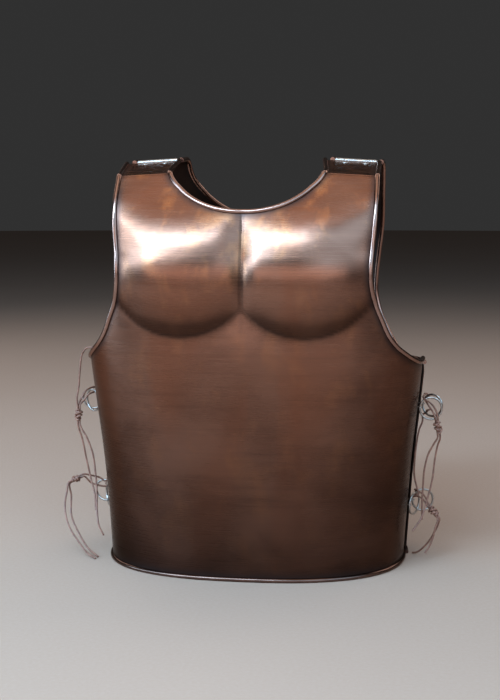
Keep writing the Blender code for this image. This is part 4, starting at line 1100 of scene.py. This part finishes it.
def eye_mesh(plate, side, level):
    """A split pin: two legs through the sheet, spread inside it, and a loop outside."""
    middle, out, back_way, up = eye_frame(plate, side, level)
    gap = math.asin(EYE_LEG_APART / EYE_LOOP_RADIUS)
    base = -EYE_STANDOFF - SHEET / 2 - CLEARANCE - EYE_WIRE_RADIUS
    leg = [(-EYE_LEG, base - EYE_LEG_LIFT), (-EYE_LEG_APART, base)]
    places = list(leg)
    for k in range(EYE_STEPS + 1):
        angle = -math.pi / 2 - gap - (2 * math.pi - 2 * gap) * k / EYE_STEPS
        places.append((EYE_LOOP_RADIUS * math.cos(angle), EYE_LOOP_RADIUS * math.sin(angle)))
    places += [(-a, b) for a, b in leg[::-1]]
    points = [middle + a * back_way + b * out for a, b in places]
    return wire(points, up, EYE_WIRE_RADIUS, EYE_SIDES)


def ring_frame(plate, side, level):
    """A ring's centre, the way to it from its eye, and the way up."""
    middle, out, back_way, up = eye_frame(plate, side, level)
    way = swung(math.radians(RING_SWINGS[plate.way, side, level]), out, back_way)
    return middle + RING_RADIUS * way, way, up


def ring_mesh(plate, side, level):
    """A side ring of round wire."""
    centre, way, up = ring_frame(plate, side, level)
    points = ring_round(centre, RING_RADIUS, RING_STEPS, way, up)
    return wire(points, np.cross(way, up), RING_WIRE_RADIUS, RING_SIDES, closed=True)


def place_from(side, level, spot):
    """A place given in millimetres outwards, back and up from the loop of a front eye."""
    middle = eye_frame(front, side, level)[0]
    return middle + MM * np.array([side * spot[0], spot[1], spot[2]])


def knot_frame(side, level):
    """A knot's middle, the ways along it, outwards and back, and its half length and half width."""
    hand = "left" if side > 0 else "right"
    middle, way, half_length, half_width = LACE_KNOTS[hand, level]
    axis = unit(np.array([side * way[0], way[1], way[2]]))
    out = unit(side * np.cross(axis, np.array([0.0, 1.0, 0.0])))
    behind = -side * np.cross(axis, out)
    return place_from(side, level, middle), axis, out, behind, MM * half_length, MM * half_width


def knot_exit(side, level, end, outwards, back):
    """Where a lace meets a knot's end, and the place a little further out."""
    middle, axis, out, behind, half_length, _ = knot_frame(side, level)
    start = middle + MM * (outwards * out + back * behind) + end * (half_length + CLEARANCE) * axis
    return [start, start + end * KNOT_LEAD * axis]


def route_points(side, level, route):
    """A lace's route as places: its own, and those round the wires of rings."""
    points = []
    for row in route:
        if not isinstance(row[0], str):
            points.append(place_from(side, level, row))
            continue
        if row[0] == "knot":
            ends = knot_exit(side, level, *row[1:])
            points += ends[::-1] if points else ends
            continue
        where, ring_level, place, turns = row
        centre, way, up = ring_frame(PLATES[where], side, ring_level)
        inwards = swung(math.radians(place), way, -up)
        behind = side * np.cross(up, way)
        for turn in turns:
            round_wire = swung(math.radians(turn), inwards, behind)
            points.append(centre - RING_RADIUS * inwards + LACE_ROUND_WIRE * round_wire)
    return points


def add_cord(node, lines):
    """Round cords as one curve with closed ends, from lines of points, each with its thickness."""
    curve = bpy.data.curves.new(node, "CURVE")
    curve.dimensions = "3D"
    curve.resolution_u = 1
    curve.bevel_depth = LACE_RADIUS
    curve.bevel_resolution = 4
    curve.use_fill_caps = True
    for line, thickness in lines:
        spline = curve.splines.new("POLY")
        spline.points.add(len(line) - 1)
        for point, spot in zip(spline.points, line):
            point.co = (*spot, 1.0)
            point.radius = thickness
        spline.use_smooth = True
    return place_piece(node, curve, "leather")


def knot_lines(side, level):
    """A knot's strands: a core, and laces wound round it one way and then crossing back."""
    middle, axis, out, behind, half_length, half_width = knot_frame(side, level)
    core = middle + np.outer(half_length * np.linspace(-1.0, 1.0, KNOT_CORE_POINTS), axis)
    lines = [(core, KNOT_CORE)]
    share = np.linspace(-1.0, 1.0, KNOT_POINTS)
    for turns, start, width, tilt in KNOT_WINDINGS:
        angle = start + math.pi * turns * share
        radius = (half_width - LACE_RADIUS) * width * (1.0 - KNOT_TAPER * share ** 4)
        along = half_length * KNOT_WOUND_LENGTH * share + tilt * half_width * np.cos(angle - start)
        spokes = np.outer(np.cos(angle), out) + np.outer(np.sin(angle), behind)
        lines.append((middle + np.outer(along, axis) + radius[:, None] * spokes, 1.0))
    return lines


class Painter:
    """Short ways to add nodes to one new material."""

    def __init__(self, name):
        self.material = bpy.data.materials.new(name)
        self.material.use_nodes = True
        self.nodes = self.material.node_tree.nodes
        self.links = self.material.node_tree.links
        self.shader = self.nodes["Principled BSDF"]
        self.place = self.nodes.new("ShaderNodeTexCoord").outputs["Object"]

    def put(self, kind, inputs=(), **settings):
        node = self.nodes.new(kind)
        for key, value in settings.items():
            setattr(node, key, value)
        for key, value in dict(inputs).items():
            if isinstance(value, bpy.types.NodeSocket):
                self.links.new(value, node.inputs[key])
            else:
                node.inputs[key].default_value = value
        return node

    def noise(self, stretch, detail, rough, shift=(0.0, 0.0, 0.0), warp=0.0):
        """Noise with its own scale along each axis, per metre."""
        mapping = self.put("ShaderNodeMapping", {"Vector": self.place, "Scale": stretch, "Location": shift})
        inputs = {"Vector": mapping.outputs[0], "Scale": 1.0, "Detail": detail, "Roughness": rough}
        return self.put("ShaderNodeTexNoise", {**inputs, "Distortion": warp}).outputs["Fac"]

    def ramp(self, value, low, high, start=0.0, end=1.0):
        """A value's range from low to high, as start to end, clamped."""
        inputs = {"Value": value, "From Min": low, "From Max": high, "To Min": start, "To Max": end}
        return self.put("ShaderNodeMapRange", inputs).outputs["Result"]

    def maths(self, operation, a, b):
        return self.put("ShaderNodeMath", {0: a, 1: b}, operation=operation).outputs[0]

    def times(self, a, b):
        return self.maths("MULTIPLY", a, b)

    def add(self, a, b):
        return self.maths("ADD", a, b)

    def mix(self, share, a, b):
        """Two colours mixed, by the node's sockets for colours."""
        a, b = [(*colour, 1.0) if isinstance(colour, tuple) else colour for colour in (a, b)]
        return self.put("ShaderNodeMix", {0: share, 6: a, 7: b}, data_type="RGBA").outputs[2]

    def mark(self, name):
        """Numbers that the mesh carries."""
        return self.put("ShaderNodeAttribute", attribute_name=name).outputs["Fac"]

    def height(self):
        """How high a point is, in metres."""
        return self.put("ShaderNodeSeparateXYZ", {0: self.place}).outputs["Z"]

    def bump(self, value, strength, distance, before=None):
        inputs = {"Height": value, "Strength": strength, "Distance": distance}
        if before is not None:
            inputs["Normal"] = before
        return self.put("ShaderNodeBump", inputs).outputs["Normal"]

    def finish(self, colour, roughness, normal):
        for name, value in (("Base Color", colour), ("Roughness", roughness), ("Normal", normal)):
            self.links.new(value, self.shader.inputs[name])
        return self.material


def copper_reads(paint):
    """What the copper's tables read, by name: noises, marks, the height, and what follows from them."""
    reads = {name: paint.noise(*row) for name, row in COPPER_NOISE.items()}
    reads |= {name: paint.mark(name) for name in MARKS}
    reads["height"] = paint.height()
    reads["low"] = paint.ramp(reads["height"], LOW_HEIGHT, 0.0)
    # painted shade: from the flanks and downward faces, and more of it low down
    clean = paint.ramp(reads["shade"], 0.0, 1.0, 1.0, 0.0)
    clean = paint.times(clean, paint.ramp(reads["low"], 0.0, 1.0, 1.0, 0.05))
    reads["painted_shade"] = paint.maths("SUBTRACT", 1.0, clean)
    reads["groove"] = paint.times(reads["groove"], paint.ramp(reads["cloud"], 0.2, 0.7, 0.95, 0.65))
    return reads


def copper_finish():
    """Antiqued copper on steel: brown, brushed sideways, rubbed bright with a painted highlight on the rolled
    edges, and with painted shade in the hollows, on the flanks and low down.
    """
    paint = Painter("antiqued_copper")
    paint.shader.inputs["Metallic"].default_value = 1.0
    paint.shader.inputs["Specular Tint"].default_value = EDGE_TINT
    reads = copper_reads(paint)
    colour = BROWN
    for layer, *ranges in COPPER_LAYERS:
        share = 1.0
        for name, *ends in ranges:
            share = paint.times(share, paint.ramp(reads[name], *ends))
        colour = paint.mix(share, colour, layer)
    roughness = 0.0
    for name, *ends in COPPER_ROUGHNESS:
        roughness = paint.add(roughness, paint.ramp(reads[name], *ends))
    dents = paint.times(reads["dent"], paint.ramp(reads["bead"], 0.0, 1.0, 1.0, 0.0))
    dented = paint.bump(dents, strength=0.30, distance=0.0016)
    scratches = paint.add(reads["brush"], reads["scratch"])
    brushed = paint.bump(scratches, strength=0.16, distance=0.00010, before=dented)
    return paint.finish(colour, roughness, brushed)


def steel_finish():
    """Plain steel wire and hinges: bright, a little dulled and scratched."""
    paint = Painter("dulled_steel")
    paint.shader.inputs["Metallic"].default_value = 1.0
    smear = paint.noise((180.0, 180.0, 180.0), detail=4.0, rough=0.6, warp=0.5)
    grain = paint.noise((2400.0, 900.0, 900.0), detail=3.0, rough=0.6)
    colour = paint.mix(paint.ramp(smear, 0.30, 0.70), STEEL, DULL_STEEL)
    roughness = paint.ramp(paint.add(smear, grain), 0.6, 1.4, 0.20, 0.42)
    return paint.finish(colour, roughness, paint.bump(grain, strength=0.25, distance=0.00006))


def leather_finish():
    """Reddish brown leather thong, a little shiny where it is handled."""
    paint = Painter("lace_leather")
    paint.shader.inputs["Specular IOR Level"].default_value = 0.55
    along = paint.noise((140.0, 140.0, 140.0), detail=4.0, rough=0.6, warp=0.6)
    grain = paint.noise((1900.0, 1900.0, 1900.0), detail=4.0, rough=0.7)
    colour = paint.mix(paint.ramp(along, 0.30, 0.72), LEATHER, LIGHT_LEATHER)
    colour = paint.mix(paint.ramp(grain, 0.50, 0.75, 0.0, 0.45), colour, LEATHER_GRAIN)
    roughness = paint.ramp(paint.add(along, grain), 0.6, 1.4, 0.36, 0.66)
    return paint.finish(colour, roughness, paint.bump(grain, strength=0.5, distance=0.00022))


def softbox(name, turn, rise, distance, wide, tall, power, roll, colour):
    """An area light that faces the cuirass."""
    light = bpy.data.lights.new(name, "AREA")
    light.shape = "RECTANGLE"
    light.size = wide
    light.size_y = tall
    light.energy = power
    light.color = colour
    turn = math.radians(turn)
    rise = math.radians(rise)
    way = Vector((math.sin(turn) * math.cos(rise), -math.cos(turn) * math.cos(rise), math.sin(rise)))
    aim = way.to_track_quat("Z", "Y") @ Quaternion((0.0, 0.0, 1.0), math.radians(roll))
    made = new_object(name, light)
    made.location = Vector((0.0, SEAM_Y, LIGHT_AIM)) + distance * way
    made.rotation_euler = aim.to_euler()


def make_camera():
    """The photo's camera."""
    camera = bpy.data.cameras.new("camera")
    camera.lens = CAMERA_LENS
    camera.sensor_width = CAMERA_SENSOR
    camera.shift_x = CAMERA_SHIFT
    camera.clip_start = CAMERA_NEAR
    made = new_object("camera", camera)
    away = CAMERA_DISTANCE * Vector((math.sin(CAMERA_TURN), -math.cos(CAMERA_TURN), 0.0))
    made.location = away + Vector((0.0, SEAM_Y, CAMERA_HEIGHT))
    made.rotation_euler = (math.pi / 2 - CAMERA_PITCH, 0.0, CAMERA_TURN)
    bpy.context.scene.camera = made


def make_floor():
    """A pale floor, wide enough for every view."""
    paint = Painter("pale_floor")
    cloud = paint.noise((1.2, 1.2, 1.2), detail=4.0, rough=0.5)
    fine = paint.noise((260.0, 260.0, 260.0), detail=3.0, rough=0.6)
    roughness = paint.ramp(fine, 0.3, 0.7, 0.55, 0.70)
    normal = paint.bump(fine, strength=0.1, distance=0.0004)
    material = paint.finish(paint.mix(cloud, FLOOR, LIGHT_FLOOR), roughness, normal)
    mesh = bpy.data.meshes.new("floor")
    shape = bmesh.new()
    bmesh.ops.create_circle(shape, cap_ends=True, radius=FLOOR_RADIUS, segments=FLOOR_SIDES)
    shape.to_mesh(mesh)
    shape.free()
    mesh.materials.append(material)
    made = new_object("floor", mesh)


def make_world():
    """Dark grey round the studio."""
    world = bpy.data.worlds.new("studio")
    world.use_nodes = True
    grey = (WORLD_GREY, WORLD_GREY, WORLD_GREY, 1.0)
    world.node_tree.nodes["Background"].inputs["Color"].default_value = grey
    bpy.context.scene.world = world


def make_laces():
    """The laces on their routes, with the ends that hang free, and the knots."""
    for (hand, level, kind), route in LACE_ROUTES.items():
        line = smooth_curve(route_points(SIDES[hand], level, route), LACE_POINTS)
        line = spaced(line, LACE_STEP)
        lace = add_cord(f"lace_{hand}_{level}_{kind}", [(line, 1.0)])
    for hand, level in LACE_KNOTS:
        add_cord(f"lace_{hand}_{level}_knot", knot_lines(SIDES[hand], level))


def make_metal():
    """The shoulder hinges and the side rings with their eyes."""
    for hand, side in SIDES.items():
        add_piece(f"hinge_pin_{hand}", *pin_mesh(side), "steel")
        for where, plate in PLATES.items():
            part = f"{where}_{hand}"
            ends = (side > 0) == (plate is back)
            add_piece(f"hinge_leaf_{part}", *leaf_mesh(plate, side, ends), "steel")
            for (u, t), spot in zip(rivet_places(plate, side), ("inner", "outer")):
                add_piece(f"hinge_rivet_{part}_{spot}", *rivet_mesh(plate, side, u, t), "steel")
            for level in EYE_HEIGHTS:
                add_piece(f"ring_eye_{part}_{level}", *eye_mesh(plate, side, level), "steel")
                add_piece(f"side_ring_{part}_{level}", *ring_mesh(plate, side, level), "steel")


SIDES = {"left": 1, "right": -1}
front = Plate(-1)
back = Plate(1)
PLATES = {"front": front, "back": back}

make_camera()
MATERIALS = {"copper": copper_finish(), "steel": steel_finish(), "leather": leather_finish()}
make_laces()
make_plate("breastplate", front)
make_plate("backplate", back)
make_metal()

make_floor()
make_world()
for row in LIGHTS:
    softbox(*row)
bpy.context.scene.view_settings.view_transform = "Standard"
